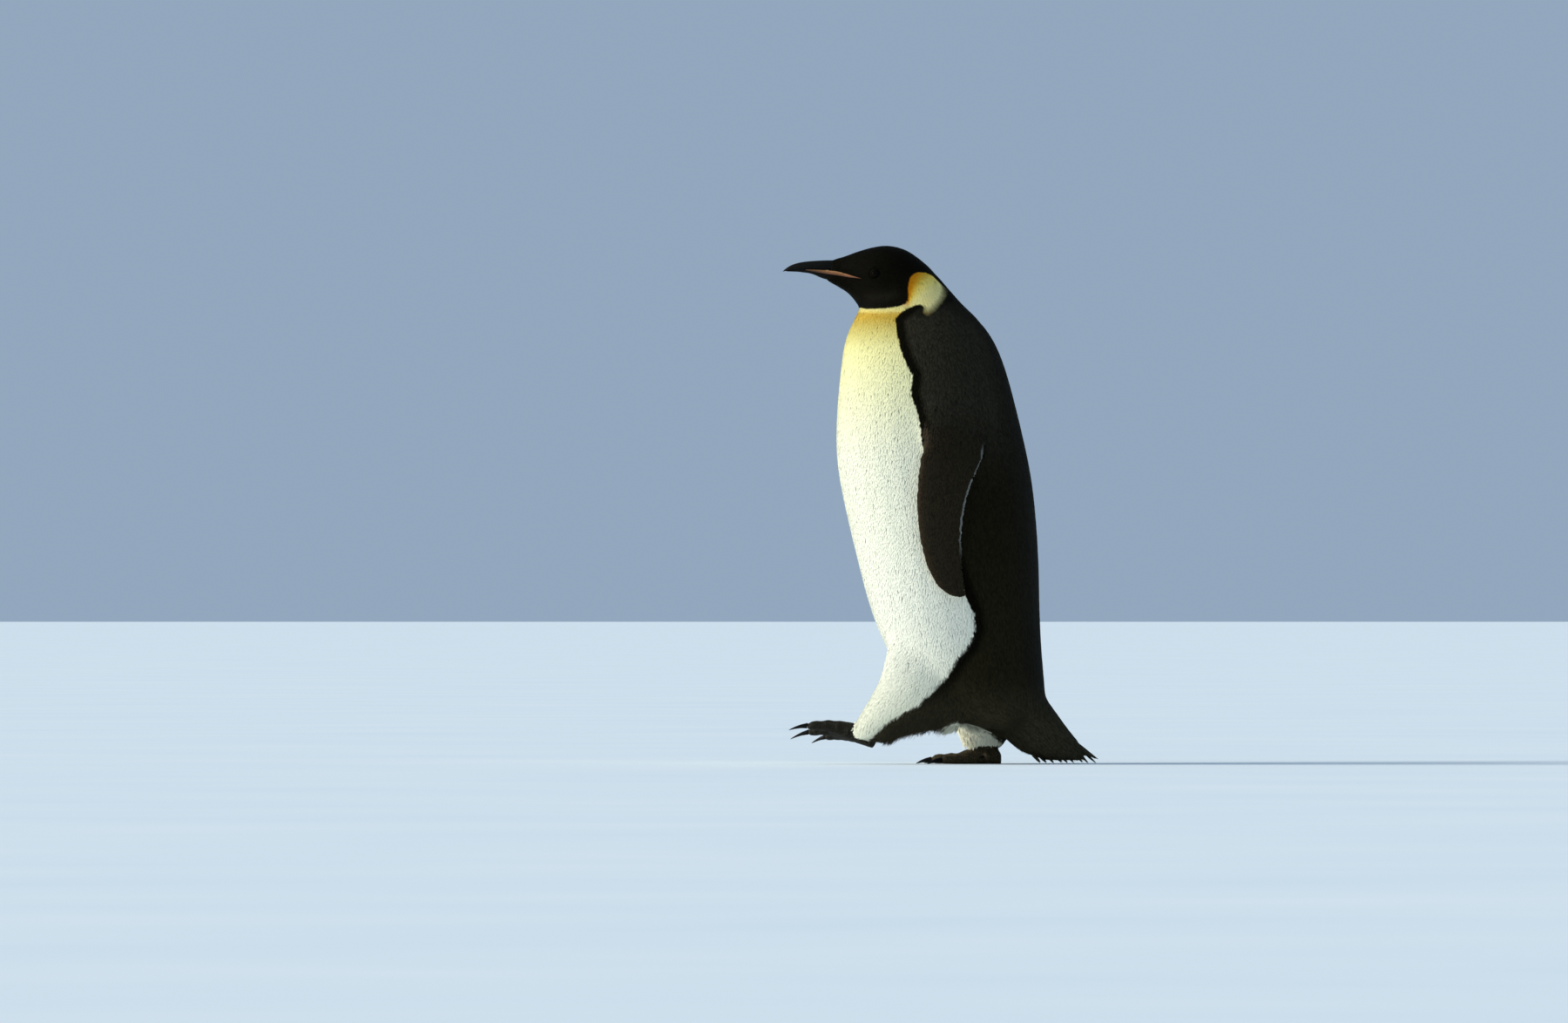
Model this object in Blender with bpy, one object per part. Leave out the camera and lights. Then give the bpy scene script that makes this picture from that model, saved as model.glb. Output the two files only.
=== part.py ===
"""An emperor penguin in mid step, life size, as a still model.

Metres, +Z up. The bird faces -X and its right side is +Y. It stands on its right foot and the end
of its tail, with the left foot lifted forwards, and leans over the standing foot. The origin is on
the floor under the main pad of the standing foot. Outlines go out to the tips of the feathers.
"""

import math

import bmesh
import bpy
import numpy as np
from mathutils import Matrix, Vector

# Driving sizes
GAP = 0.0003  # left between pieces that meet
SWAY = 0.095  # sideways lean over the standing foot, for each metre of height
SIDES = {"left": -1, "right": 1}

# The body from bill to hem: front and back point of each section (x, z), and its half width
BODY = {
    "bill_base": (-0.2105, 0.8640, -0.2030, 0.8970, 0.0122),
    "lores": (-0.1906, 0.8540, -0.1815, 0.9021, 0.0200),
    "brow": (-0.1736, 0.8409, -0.1565, 0.9112, 0.0305),
    "eyes": (-0.1600, 0.8265, -0.1286, 0.9192, 0.0405),
    "crown": (-0.1530, 0.8145, -0.1007, 0.9222, 0.0472),
    "ears": (-0.1535, 0.8060, -0.0697, 0.9145, 0.0510),
    "occiput": (-0.1575, 0.7975, -0.0430, 0.8965, 0.0548),
    "nape": (-0.1625, 0.7880, -0.0205, 0.8760, 0.0605),
    "neck": (-0.1695, 0.7730, 0.0046, 0.8465, 0.0725),
    "neck_base": (-0.1772, 0.7515, 0.0325, 0.8150, 0.0900),
    "collar": (-0.1830, 0.7225, 0.0604, 0.7880, 0.1080),
    "shoulders": (-0.1868, 0.6850, 0.0868, 0.7510, 0.1250),
    "breast": (-0.1906, 0.6430, 0.1069, 0.7015, 0.1390),
    "chest": (-0.1932, 0.5940, 0.1245, 0.6370, 0.1515),
    "ribs": (-0.1922, 0.5430, 0.1415, 0.5650, 0.1605),
    "waist": (-0.1850, 0.4920, 0.1535, 0.5020, 0.1655),
    "middle": (-0.1715, 0.4290, 0.1612, 0.4300, 0.1672),
    "belly": (-0.1530, 0.3520, 0.1655, 0.3520, 0.1640),
    "flank": (-0.1325, 0.2760, 0.1670, 0.2740, 0.1565),
    "hip": (-0.1065, 0.2110, 0.1700, 0.2050, 0.1465),
    "thigh": (-0.0755, 0.1570, 0.1750, 0.1450, 0.1345),
    "vent": (-0.0350, 0.1130, 0.1765, 0.1050, 0.1170),
    "rump": (0.0080, 0.0825, 0.1700, 0.0750, 0.0890),
    "hem": (0.0465, 0.0665, 0.1460, 0.0600, 0.0520),
}
BODY_PIECES = {"head": ("bill_base", "nape"), "neck": ("nape", "collar"), "trunk": ("collar", "hem")}
BODY_SQUARENESS = 2.15  # 2 is an ellipse
STEPS = 1  # rings added between two sections

# The eye: the middle of the ball in side view, its radius, and how far it stands out of the head
EYE_AT = (-0.1255, 0.8705)
EYE_RADIUS = 0.0088
EYE_PROUD = 0.0022

# Bill sections from tip to base: x, ridge or keel z, cutting edge z, half width
BILL_TIP = (-0.2898, 0.8752)
UPPER_BILL = (
    (-0.2845, 0.8808, 0.8764, 0.0026),
    (-0.2767, 0.8860, 0.8780, 0.0045),
    (-0.2650, 0.8907, 0.8795, 0.0060),
    (-0.2480, 0.8939, 0.8805, 0.0075),
    (-0.2250, 0.8956, 0.8808, 0.0095),
    (-0.2020, 0.8965, 0.8802, 0.0116),
)
LOWER_BILL = (
    (-0.2800, 0.8743, 0.8764, 0.0022),
    (-0.2650, 0.8738, 0.8790, 0.0046),
    (-0.2480, 0.8731, 0.8802, 0.0064),
    (-0.2300, 0.8706, 0.8806, 0.0082),
    (-0.2060, 0.8640, 0.8800, 0.0110),
)
# The coloured strip on each side of the lower bill: x, upper edge z, lower edge z
BILL_PLATE = (
    (-0.2480, 0.8796, 0.8780),
    (-0.2360, 0.8801, 0.8756),
    (-0.2200, 0.8801, 0.8722),
    (-0.2050, 0.8794, 0.8689),
    (-0.1900, 0.8774, 0.8660),
    (-0.1700, 0.8712, 0.8620),
    (-0.1490, 0.8610, 0.8590),
)
PLATE_PROUD = 0.0010

# Flipper sections from shoulder to tip: leading edge, trailing edge (x, z), how far the blade's
# middle stands off the body, and its thickness
FLIPPER = (
    (-0.0500, 0.7050, 0.0450, 0.6800, -0.0200, 0.020),
    (-0.0440, 0.6580, 0.0620, 0.6250, -0.0040, 0.028),
    (-0.0405, 0.6100, 0.0710, 0.5740, 0.0080, 0.024),
    (-0.0430, 0.5650, 0.0670, 0.5420, 0.0125, 0.019),
    (-0.0500, 0.5150, 0.0500, 0.5060, 0.0150, 0.016),
    (-0.0535, 0.4650, 0.0360, 0.4630, 0.0160, 0.014),
    (-0.0505, 0.4180, 0.0295, 0.4180, 0.0165, 0.013),
    (-0.0435, 0.3780, 0.0285, 0.3780, 0.0165, 0.012),
    (-0.0310, 0.3400, 0.0310, 0.3400, 0.0160, 0.010),
    (-0.0150, 0.3140, 0.0340, 0.3160, 0.0155, 0.008),
    (0.0060, 0.2990, 0.0345, 0.3020, 0.0150, 0.006),
    (0.0210, 0.2945, 0.0330, 0.2960, 0.0150, 0.004),
)
LEADING_FULLNESS = 0.35  # how much thicker the leading edge is than the trailing one

# Leg sections from hip to ankle: front and back point (x, z), middle y, half width
LIFTED_LEG = (
    (-0.0900, 0.2500, 0.0750, 0.2000, 0.070, 0.050),
    (-0.1050, 0.2000, 0.0600, 0.1250, 0.071, 0.052),
    (-0.1175, 0.1500, 0.0330, 0.0700, 0.068, 0.050),
    (-0.1420, 0.1050, -0.0280, 0.0600, 0.060, 0.042),
    (-0.1590, 0.0760, -0.0760, 0.0500, 0.051, 0.034),
    (-0.1620, 0.0520, -0.0960, 0.0400, 0.046, 0.028),
)
STANDING_LEG = (
    (-0.0100, 0.1600, 0.1350, 0.1400, 0.062, 0.052),
    (0.0080, 0.0900, 0.1250, 0.0750, 0.052, 0.046),
    (0.0250, 0.0560, 0.1110, 0.0500, 0.042, 0.036),
    (0.0350, 0.0310, 0.1030, 0.0310, 0.036, 0.027),
)

# Tail sections from rump to tip: upper and lower point (x, z), half width
TAIL = (
    (0.1600, 0.1550, 0.0620, 0.0900, 0.080),
    (0.1770, 0.1180, 0.0900, 0.0610, 0.072),
    (0.1985, 0.0880, 0.1150, 0.0370, 0.060),
    (0.2210, 0.0570, 0.1480, 0.0130, 0.048),
    (0.2450, 0.0320, 0.1860, -0.0030, 0.038),
    (0.2655, 0.0150, 0.2300, -0.0035, 0.026),
)

# Feet, in their own frame: heel at the origin, toes towards -X, sole at z = 0
FOOT_LENGTH = 0.124  # heel to the end of the middle toe
CLAW_LENGTH = 0.028
CLAW_RADIUS = 0.0048
PAD_AT = 0.070  # from the heel to the middle of the pad that the toes grow from
WEB_THICKNESS = 0.0055
WEB_REACH = 0.92  # how far along the toes the web goes
WEB_HOLLOW = 0.82  # and how far between them
# Heel and instep sections: distance from the heel, height of the top, half width
INSTEP = (
    (0.000, 0.0170, 0.0120),
    (0.006, 0.0290, 0.0180),
    (0.022, 0.0355, 0.0210),
    (0.038, 0.0335, 0.0225),
    (0.052, 0.0290, 0.0255),
    (0.066, 0.0245, 0.0290),
    (0.080, 0.0175, 0.0320),
)
# Toes from the inner to the outer: turn in degrees, reach as a share of the foot, root radius,
# and how far the root is to the side
TOE_ROOT = 0.046
TOES = {
    "inner": (22, 0.88, 0.0112, 0.0130),
    "middle": (1, 1.00, 0.0122, 0.0004),
    "outer": (-20, 0.96, 0.0116, -0.0125),
}
HIND_TOE_AT = (-0.024, 0.0225, 0.013)
HIND_TOE_RADIUS = 0.0075
# Where each foot is, how it is turned about X, Y and Z, and how much its toes droop: the drop is
# this number times the square of the distance past the bend
FEET = {
    "right": (Vector((0.0990, 0.0400, 0.0)), (0, 0, -4), 0.0),
    "left": (Vector((-0.1320, -0.0440, 0.0300)), (-17, 17, -24), 3.2),
}
BEND_AT = 0.050

COLOURS = {
    "plumage_black": (0.012, 0.011, 0.010, 0.62, 0.0),
    "plumage_dark": (0.022, 0.021, 0.020, 0.60, 0.0),
    "horn_black": (0.010, 0.010, 0.011, 0.35, 0.0),
    "horn_coral": (0.62, 0.24, 0.13, 0.38, 0.0),
    "foot_black": (0.016, 0.014, 0.013, 0.50, 0.0),
    "eye_brown": (0.040, 0.018, 0.008, 0.06, 0.0),
}


def clear_scene():
    for obj in list(bpy.data.objects):
        bpy.data.objects.remove(obj)


def new_collection(name):
    collection = bpy.data.collections.new(name)
    bpy.context.scene.collection.children.link(collection)
    return collection


def material(name):
    """A Principled material, made once and shared."""
    found = bpy.data.materials.get(name)
    if found:
        return found
    red, green, blue, roughness, metallic = COLOURS[name]
    made = bpy.data.materials.new(name)
    made.use_nodes = True
    shader = made.node_tree.nodes["Principled BSDF"]
    shader.inputs["Base Color"].default_value = (red, green, blue, 1.0)
    shader.inputs["Roughness"].default_value = roughness
    shader.inputs["Metallic"].default_value = metallic
    made.diffuse_color = (red, green, blue, 1.0)
    return made


def smooth_rows(rows, steps=STEPS):
    """Rows on a Catmull-Rom curve through the given rows, with steps rows added in each gap."""
    rows = np.asarray(rows, float)
    padded = np.vstack([2 * rows[0] - rows[1], rows, 2 * rows[-1] - rows[-2]])
    made = []
    for before, start, end, after in zip(padded, padded[1:], padded[2:], padded[3:]):
        for step in range(steps + 1):
            t = step / (steps + 1)
            bend = (2 * before - 5 * start + 4 * end - after) * t + (
                3 * start - before - 3 * end + after
            ) * t * t
            made.append(start + 0.5 * t * (end - before + bend))
    made.append(rows[-1])
    return np.array(made)


def leaned(point):
    """The point moved sideways by the bird's lean, which grows with height."""
    return Vector((point[0], point[1] + SWAY * point[2], point[2]))


def ring(centre, across, beside, count, squareness=2.0, fullness=0.0):
    """A closed section: across is the half axis at angle 0 and beside the one at 90 degrees."""
    points = []
    for i in range(count):
        angle = 2 * math.pi * i / count
        c, s = math.cos(angle), math.sin(angle)
        u = math.copysign(abs(c) ** (2 / squareness), c)
        v = math.copysign(abs(s) ** (2 / squareness), s) * (1 + fullness * c)
        points.append(centre + across * u + beside * v)
    return points


def loft(rings):
    """A closed bmesh through rings of equal length, with a flat cap on each end."""
    bm = bmesh.new()
    loops = [[bm.verts.new(point) for point in points] for points in rings]
    count = len(rings[0])
    for low, high in zip(loops, loops[1:]):
        for i in range(count):
            j = (i + 1) % count
            bm.faces.new((low[i], low[j], high[j], high[i]))
    bm.faces.new(loops[0])
    bm.faces.new(loops[-1])
    bmesh.ops.recalc_face_normals(bm, faces=bm.faces)
    return bm


def add(name, bm, material_name, collection):
    """The bmesh as a smooth-shaded object."""
    mesh = bpy.data.meshes.new(name)
    bm.to_mesh(mesh)
    bm.free()
    mesh.materials.append(material(material_name))
    mesh.shade_smooth()
    obj = bpy.data.objects.new(name, mesh)
    collection.objects.link(obj)
    return obj


def inflated(obj, helpers, by=GAP):
    """A helper copy of obj, grown by the gap, to cut its neighbours with."""
    copy = obj.copy()
    copy.data = obj.data.copy()
    copy.name = obj.name + "_grown"
    copy.hide_render = True
    copy.display_type = "WIRE"
    helpers.objects.link(copy)
    grow = copy.modifiers.new("grow", "DISPLACE")
    grow.mid_level = 0.0
    grow.strength = by
    return copy


def boolean(obj, other, operation):
    modifier = obj.modifiers.new(operation.lower(), "BOOLEAN")
    modifier.operation = operation
    modifier.solver = "EXACT"
    modifier.object = other


def applied(obj):
    """Makes obj's evaluated shape its own mesh, and takes its modifiers away."""
    bpy.context.view_layer.update()
    graph = bpy.context.evaluated_depsgraph_get()
    mesh = bpy.data.meshes.new_from_object(obj.evaluated_get(graph))
    obj.modifiers.clear()
    obj.data = mesh
    return obj


def body_rows():
    return smooth_rows(list(BODY.values()))


def body_ring(row, shift=0.0):
    """The body's section for one row, moved towards the hem by shift."""
    front = Vector((row[0], 0, row[1]))
    back = Vector((row[2], 0, row[3]))
    across = (front - back) / 2
    along = across.cross(Vector((0, 1, 0))).normalized()
    middle = (front + back) / 2 + along * shift
    points = ring(middle, across, Vector((0, row[4], 0)), 26, BODY_SQUARENESS)
    return [leaned(point) for point in points]


def body_side(x, z):
    """The body's half width at a place in side view."""
    rows = body_rows()
    front, run = rows[:, 0:2], rows[:, 2:4] - rows[:, 0:2]
    to_place = np.array([x, z]) - front
    turn = run[:, 0] * to_place[:, 1] - run[:, 1] * to_place[:, 0]
    i = int(np.argmax(turn[:-1] * turn[1:] <= 0))
    share = turn[i] / (turn[i] - turn[i + 1])
    along = (to_place * run).sum(1) / (run * run).sum(1)
    depth = along[i] + share * (along[i + 1] - along[i])
    width = rows[i, 4] + share * (rows[i + 1, 4] - rows[i, 4])
    off_middle = min(1.0, abs(2 * depth - 1))
    return width * (1 - off_middle**BODY_SQUARENESS) ** (1 / BODY_SQUARENESS)


def make_body(collection):
    """Head, neck and trunk: one long loft, parted by thin cuts."""
    rows = body_rows()
    names = list(BODY)
    made = {}
    for name, (first, last) in BODY_PIECES.items():
        start = names.index(first) * (STEPS + 1)
        end = names.index(last) * (STEPS + 1)
        rings = [body_ring(row) for row in rows[start : end + 1]]
        if start > 0:
            rings[0] = body_ring(rows[start], GAP / 2)
        if end < len(rows) - 1:
            rings[-1] = body_ring(rows[end], -GAP / 2)
        made[name] = add(name, loft(rings), "plumage_black", collection)
    return made


def make_eyes(head, collection, helpers):
    """Two eyeballs, each in a socket that clears it by the gap."""
    depth = body_side(*EYE_AT) + EYE_PROUD - EYE_RADIUS
    eyes = []
    for side, sign in SIDES.items():
        centre = leaned((EYE_AT[0], sign * depth, EYE_AT[1]))
        for name, radius, place in (
            ("eye_" + side, EYE_RADIUS, collection),
            ("socket_" + side, EYE_RADIUS + GAP, helpers),
        ):
            bm = bmesh.new()
            bmesh.ops.create_uvsphere(bm, u_segments=12, v_segments=8, radius=radius)
            ball = add(name, bm, "eye_brown", place)
            ball.location = centre
            ball.rotation_euler = (math.radians(90), 0, 0)
        ball.hide_render = True
        ball.display_type = "WIRE"
        boolean(head, ball, "DIFFERENCE")
        eyes.append(bpy.data.objects["eye_" + side])
    applied(head)
    return eyes


def half_ring(x, crest, edge, half_width, count=9):
    """Half a section of the bill, flat at its cutting edge and rounded towards its crest."""
    points = []
    for i in range(count + 1):
        angle = math.pi * i / count
        rise = math.sin(angle) ** 0.8
        points.append(leaned((x, half_width * math.cos(angle), edge + (crest - edge) * rise)))
    return points


def make_bill(head, collection, helpers):
    """Upper and lower bill, cut to the feathered base, and the strip on each side."""
    grown = inflated(head, helpers)
    tip_x, tip_z = BILL_TIP
    upper_rows = [(tip_x, tip_z + 0.0008, tip_z, 0.0006), *UPPER_BILL]
    lower_rows = [(tip_x + 0.006, 0.8748, 0.8755, 0.0008), *LOWER_BILL]
    made = []
    for name, rows, lift in (("bill_upper", upper_rows, GAP / 2), ("bill_lower", lower_rows, -GAP / 2)):
        rings = [half_ring(x, crest, edge + lift, width) for x, crest, edge, width in smooth_rows(rows)]
        obj = add(name, loft(rings), "horn_black", collection)
        boolean(obj, grown, "DIFFERENCE")
        made.append(applied(obj))
    grown_bill = inflated(made[1], helpers)
    grown_upper = inflated(made[0], helpers)
    for side, sign in SIDES.items():
        obj = add("bill_plate_" + side, loft(plate_rings(sign)), "horn_coral", collection)
        for cutter in (grown, grown_bill, grown_upper):
            boolean(obj, cutter, "DIFFERENCE")
        made.append(applied(obj))
    return made


def bill_side(x, z):
    """The half width of the lower bill, or of the head behind it, at a place in side view."""
    base_x = LOWER_BILL[-1][0] - 0.004
    if x > base_x:
        return body_side(x, z)
    rows = smooth_rows(LOWER_BILL)
    crest, edge, width = (np.interp(x, rows[:, 0], rows[:, k]) for k in (1, 2, 3))
    rise = min(1.0, max(0.0, (edge - z) / (edge - crest)))
    return width * math.cos(math.asin(rise ** (1 / 0.8)))


def plate_rings(sign):
    """Sections of the strip, half buried in the surface under it."""
    rings = []
    for x, top, bottom in smooth_rows(BILL_PLATE):
        middle = (top + bottom) / 2
        depth = bill_side(x, middle)
        centre = leaned((x, sign * depth, middle))
        up = leaned((0, 0, (top - bottom) / 2))
        rings.append(ring(centre, up, Vector((0, PLATE_PROUD, 0)), 8, 2.4))
    return rings


def make_flippers(trunk, collection, helpers):
    """Two blades hanging from the shoulders close to the body."""
    grown = inflated(trunk, helpers)
    made = []
    for side, sign in SIDES.items():
        rings = []
        for lead_x, lead_z, trail_x, trail_z, off, thickness in smooth_rows(FLIPPER, 1):
            lead = Vector((lead_x, sign * (body_side(lead_x, lead_z) + off), lead_z))
            trail = Vector((trail_x, sign * (body_side(trail_x, trail_z) + off), trail_z))
            out = Vector((0, sign * thickness / 2, 0))
            points = ring((lead + trail) / 2, (lead - trail) / 2, out, 12, 2.0, LEADING_FULLNESS)
            rings.append([leaned(point) for point in points])
        obj = add("flipper_" + side, loft(rings), "plumage_dark", collection)
        boolean(obj, grown, "DIFFERENCE")
        made.append(applied(obj))
    return made


def make_legs(trunk, collection, helpers):
    """The feathered legs, down to the ankles."""
    grown = inflated(trunk, helpers)
    made = {}
    for side, rows in (("left", LIFTED_LEG), ("right", STANDING_LEG)):
        rings = []
        for front_x, front_z, back_x, back_z, middle, width in smooth_rows(rows):
            front = Vector((front_x, SIDES[side] * middle, front_z))
            back = Vector((back_x, SIDES[side] * middle, back_z))
            points = ring((front + back) / 2, (front - back) / 2, Vector((0, width, 0)), 20)
            rings.append([leaned(point) for point in points])
        obj = add("leg_" + side, loft(rings), "plumage_dark", collection)
        boolean(obj, grown, "DIFFERENCE")
        made[side] = applied(obj)
    return made


def floor_cutter(helpers):
    """A slab whose top is the floor, which leaves the flats that the bird stands on."""
    bm = bmesh.new()
    bmesh.ops.create_cube(bm, size=1.0)
    slab = add("floor_cutter", bm, "foot_black", helpers)
    slab.scale = (1.2, 1.2, 0.1)
    slab.location = (0, 0, -0.05)
    slab.hide_render = True
    slab.display_type = "WIRE"
    return slab


def make_tail(neighbours, floor, collection, helpers):
    """The stiff wedge of the tail, resting on the floor by its end."""
    rings = []
    for top_x, top_z, low_x, low_z, width in smooth_rows(TAIL):
        top = Vector((top_x, 0, top_z))
        low = Vector((low_x, 0, low_z))
        points = ring((top + low) / 2, (top - low) / 2, Vector((0, width, 0)), 22, 2.3)
        rings.append([leaned(point) for point in points])
    obj = add("tail", loft(rings), "plumage_dark", collection)
    for neighbour in neighbours:
        boolean(obj, inflated(neighbour, helpers), "DIFFERENCE")
    boolean(obj, floor, "DIFFERENCE")
    return applied(obj)


def toe_frame(name, sign):
    """Root, direction and length of a toe; the inner toe is the one on the bird's middle side."""
    turn, share, _, aside = TOES[name]
    angle = math.radians(turn) * sign
    along = Vector((-math.cos(angle), -math.sin(angle), 0))
    return Vector((-TOE_ROOT, -sign * aside, 0)), along, FOOT_LENGTH * share - TOE_ROOT


def toe_sections(name, sign):
    """Sections of one toe: it swells at each joint and rounds off under the claw."""
    root, along, length = toe_frame(name, sign)
    beside = along.cross(Vector((0, 0, 1)))
    radius = TOES[name][2]
    rings = []
    for t in (0.0, 0.14, 0.28, 0.42, 0.56, 0.70, 0.82, 0.92, 1.0):
        swell = 1 + 0.09 * math.cos(7.2 * math.pi * t)
        taper = 1 - 0.26 * t
        size = radius * swell * taper * (0.45 if t == 1.0 else 1)
        centre = root + along * length * t + Vector((0, 0, radius * taper * 0.86))
        rings.append(ring(centre, Vector((0, 0, size * 0.95)), beside * size, 8, 2.2))
    return rings


def web_outline(sign):
    """The web from above: out along the three toes and hollow between them."""
    tips = {}
    for name in TOES:
        root, along, length = toe_frame(name, sign)
        tips[name] = root + along * length
    points = [Vector((-0.050, -0.012 * sign, 0)), tips["inner"] * WEB_REACH]
    for one, other in (("inner", "middle"), ("middle", "outer")):
        for share in (0.25, 0.5, 0.75):
            straight = tips[one].lerp(tips[other], share) * WEB_REACH
            points.append(straight * (1 - (1 - WEB_HOLLOW / WEB_REACH) * math.sin(math.pi * share)))
        points.append(tips[other] * WEB_REACH)
    points.append(Vector((-0.050, 0.012 * sign, 0)))
    return points


def make_web(sign, place):
    """The web as a flat outline, thick enough to join the toes."""
    curve = bpy.data.curves.new("web", "CURVE")
    curve.dimensions = "2D"
    curve.fill_mode = "BOTH"
    curve.extrude = WEB_THICKNESS / 2
    points = web_outline(sign)
    spline = curve.splines.new("POLY")
    spline.points.add(len(points) - 1)
    for target, point in zip(spline.points, points):
        target.co = (point.x, point.y, 0, 1)
    spline.use_cyclic_u = True
    flat = bpy.data.objects.new("web_curve", curve)
    place.objects.link(flat)
    bpy.context.view_layer.update()
    graph = bpy.context.evaluated_depsgraph_get()
    mesh = bpy.data.meshes.new_from_object(flat.evaluated_get(graph))
    bm = bmesh.new()
    bm.from_mesh(mesh)
    bmesh.ops.remove_doubles(bm, verts=bm.verts, dist=0.0001)
    bmesh.ops.recalc_face_normals(bm, faces=bm.faces)
    bpy.data.objects.remove(flat)
    bmesh.ops.translate(bm, verts=bm.verts, vec=(0, 0, 0.0062))
    return add("web", bm, "foot_black", place)


def instep_sections():
    """The heel and instep, a little below the sole so that the floor cut leaves a flat."""
    rings = []
    for distance, height, half_width in smooth_rows(INSTEP, 0):
        centre = Vector((-distance, 0, height / 2 - 0.0008))
        rings.append(ring(centre, Vector((0, 0, height / 2)), Vector((0, half_width, 0)), 16, 2.5))
    return rings


def claw_sections(start, along, length, radius):
    """A claw that curves down from its root to a blunt point."""
    beside = along.cross(Vector((0, 0, 1)))
    rings = []
    for t in (0.0, 0.25, 0.5, 0.72, 0.9, 1.0):
        size = radius * (1 - t) ** 0.75 + 0.0006
        drop = length * (0.10 * t - 0.30 * t * t)
        centre = start + along * length * t + Vector((0, 0, drop))
        rings.append(ring(centre, Vector((0, 0, size)), beside * size * 0.8, 8))
    return rings


def let_toes_droop(obj, droop):
    """Lowers what is in front of the bend, more the further forward it is."""
    for vertex in obj.data.vertices:
        vertex.co.z -= droop * max(0.0, -vertex.co.x - BEND_AT) ** 2


def make_foot(side, leg, floor, collection, helpers):
    """A foot of three webbed toes and a small hind toe, and its claws."""
    sign = SIDES[side]
    place = bpy.data.objects.new("foot_place_" + side, None)
    collection.objects.link(place)
    where, turns, droop = FEET[side]
    place.location = where
    place.rotation_euler = [math.radians(turn) for turn in turns]

    toes = new_collection("toes_" + side)
    toes.hide_render = True
    foot = add("foot_" + side, loft(instep_sections()), "foot_black", collection)
    pieces = [make_web(sign, toes)]
    claws = {}
    for name in TOES:
        pieces.append(add("toe_" + name, loft(toe_sections(name, sign)), "foot_black", toes))
        root, along, length = toe_frame(name, sign)
        radius = TOES[name][2]
        start = root + along * (length - 0.008) + Vector((0, 0, radius * 0.59))
        claws[name] = claw_sections(start, along, CLAW_LENGTH + 0.008, CLAW_RADIUS)
    hind_x, hind_y, hind_z = HIND_TOE_AT
    hind = Vector((hind_x, -sign * hind_y, hind_z))
    hind_along = Vector((-0.90, -0.43 * sign, 0)).normalized()
    claws["hind"] = claw_sections(hind, hind_along, 0.016, 0.0034)
    bm = bmesh.new()
    bmesh.ops.create_uvsphere(bm, u_segments=8, v_segments=5, radius=HIND_TOE_RADIUS)
    bmesh.ops.translate(bm, verts=bm.verts, vec=hind)
    pieces.append(add("hind_toe", bm, "foot_black", toes))
    for piece in pieces:
        piece.hide_render = True
        piece.display_type = "WIRE"
    union = foot.modifiers.new("toes", "BOOLEAN")
    union.operation = "UNION"
    union.solver = "EXACT"
    union.operand_type = "COLLECTION"
    union.collection = toes
    boolean(foot, floor, "DIFFERENCE")
    applied(foot)
    for piece in pieces:
        bpy.data.objects.remove(piece)
    bpy.data.collections.remove(toes)

    cutter = inflated(foot, helpers)
    for name, rings in claws.items():
        claw = add(f"claw_{side}_{name}", loft(rings), "horn_black", collection)
        boolean(claw, cutter, "DIFFERENCE")
        boolean(claw, floor, "DIFFERENCE")
        let_toes_droop(applied(claw), droop)
        claw.parent = place
    bpy.data.objects.remove(cutter)
    let_toes_droop(foot, droop)
    foot.parent = place
    boolean(foot, inflated(leg, helpers), "DIFFERENCE")
    applied(foot)


def stand_on_origin(side):
    """Moves the whole bird so that the main pad of this foot is over the origin."""
    where, turns, _ = FEET[side]
    pad = where + Matrix.Rotation(math.radians(turns[2]), 4, "Z") @ Vector((-PAD_AT, 0, 0))
    root = bpy.data.objects.new("bird", None)
    bpy.context.scene.collection.objects.link(root)
    for obj in bpy.data.objects:
        if obj != root and obj.parent is None:
            obj.parent = root
    root.location = (-pad.x, -pad.y, 0)


def main():
    clear_scene()
    bird = new_collection("emperor_penguin")
    helpers = new_collection("helpers")
    helpers.hide_render = True
    floor = floor_cutter(helpers)
    body = make_body(bird)
    make_eyes(body["head"], bird, helpers)
    make_bill(body["head"], bird, helpers)
    make_flippers(body["trunk"], bird, helpers)
    legs = make_legs(body["trunk"], bird, helpers)
    make_tail((body["trunk"], legs["right"]), floor, bird, helpers)
    for side in SIDES:
        make_foot(side, legs[side], floor, bird, helpers)
    stand_on_origin("right")
    bpy.context.view_layer.update()


main()
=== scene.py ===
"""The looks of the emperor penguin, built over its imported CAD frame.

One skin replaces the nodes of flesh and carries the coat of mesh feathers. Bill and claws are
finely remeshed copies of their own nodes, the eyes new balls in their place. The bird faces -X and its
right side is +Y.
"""

import math

import bmesh
import bpy
import numpy as np
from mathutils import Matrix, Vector
from mathutils.bvhtree import BVHTree
from mathutils.kdtree import KDTree


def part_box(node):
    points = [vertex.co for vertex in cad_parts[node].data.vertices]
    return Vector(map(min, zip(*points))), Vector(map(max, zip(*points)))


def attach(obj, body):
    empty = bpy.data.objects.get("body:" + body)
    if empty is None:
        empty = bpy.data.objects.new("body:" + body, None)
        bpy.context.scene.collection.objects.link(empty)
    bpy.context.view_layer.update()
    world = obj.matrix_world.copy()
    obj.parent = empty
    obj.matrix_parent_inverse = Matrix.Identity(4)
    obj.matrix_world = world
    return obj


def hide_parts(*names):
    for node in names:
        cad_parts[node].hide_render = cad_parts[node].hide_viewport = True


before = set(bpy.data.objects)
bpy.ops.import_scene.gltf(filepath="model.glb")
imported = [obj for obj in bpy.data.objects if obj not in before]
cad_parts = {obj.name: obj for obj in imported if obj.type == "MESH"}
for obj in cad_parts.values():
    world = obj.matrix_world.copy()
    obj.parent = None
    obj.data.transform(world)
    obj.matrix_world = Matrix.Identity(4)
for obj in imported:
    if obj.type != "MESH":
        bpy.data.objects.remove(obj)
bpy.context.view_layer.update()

# The mid-plane of the leaning body: y = LEAN * z + MID_Y
LEAN = 0.095
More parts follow.
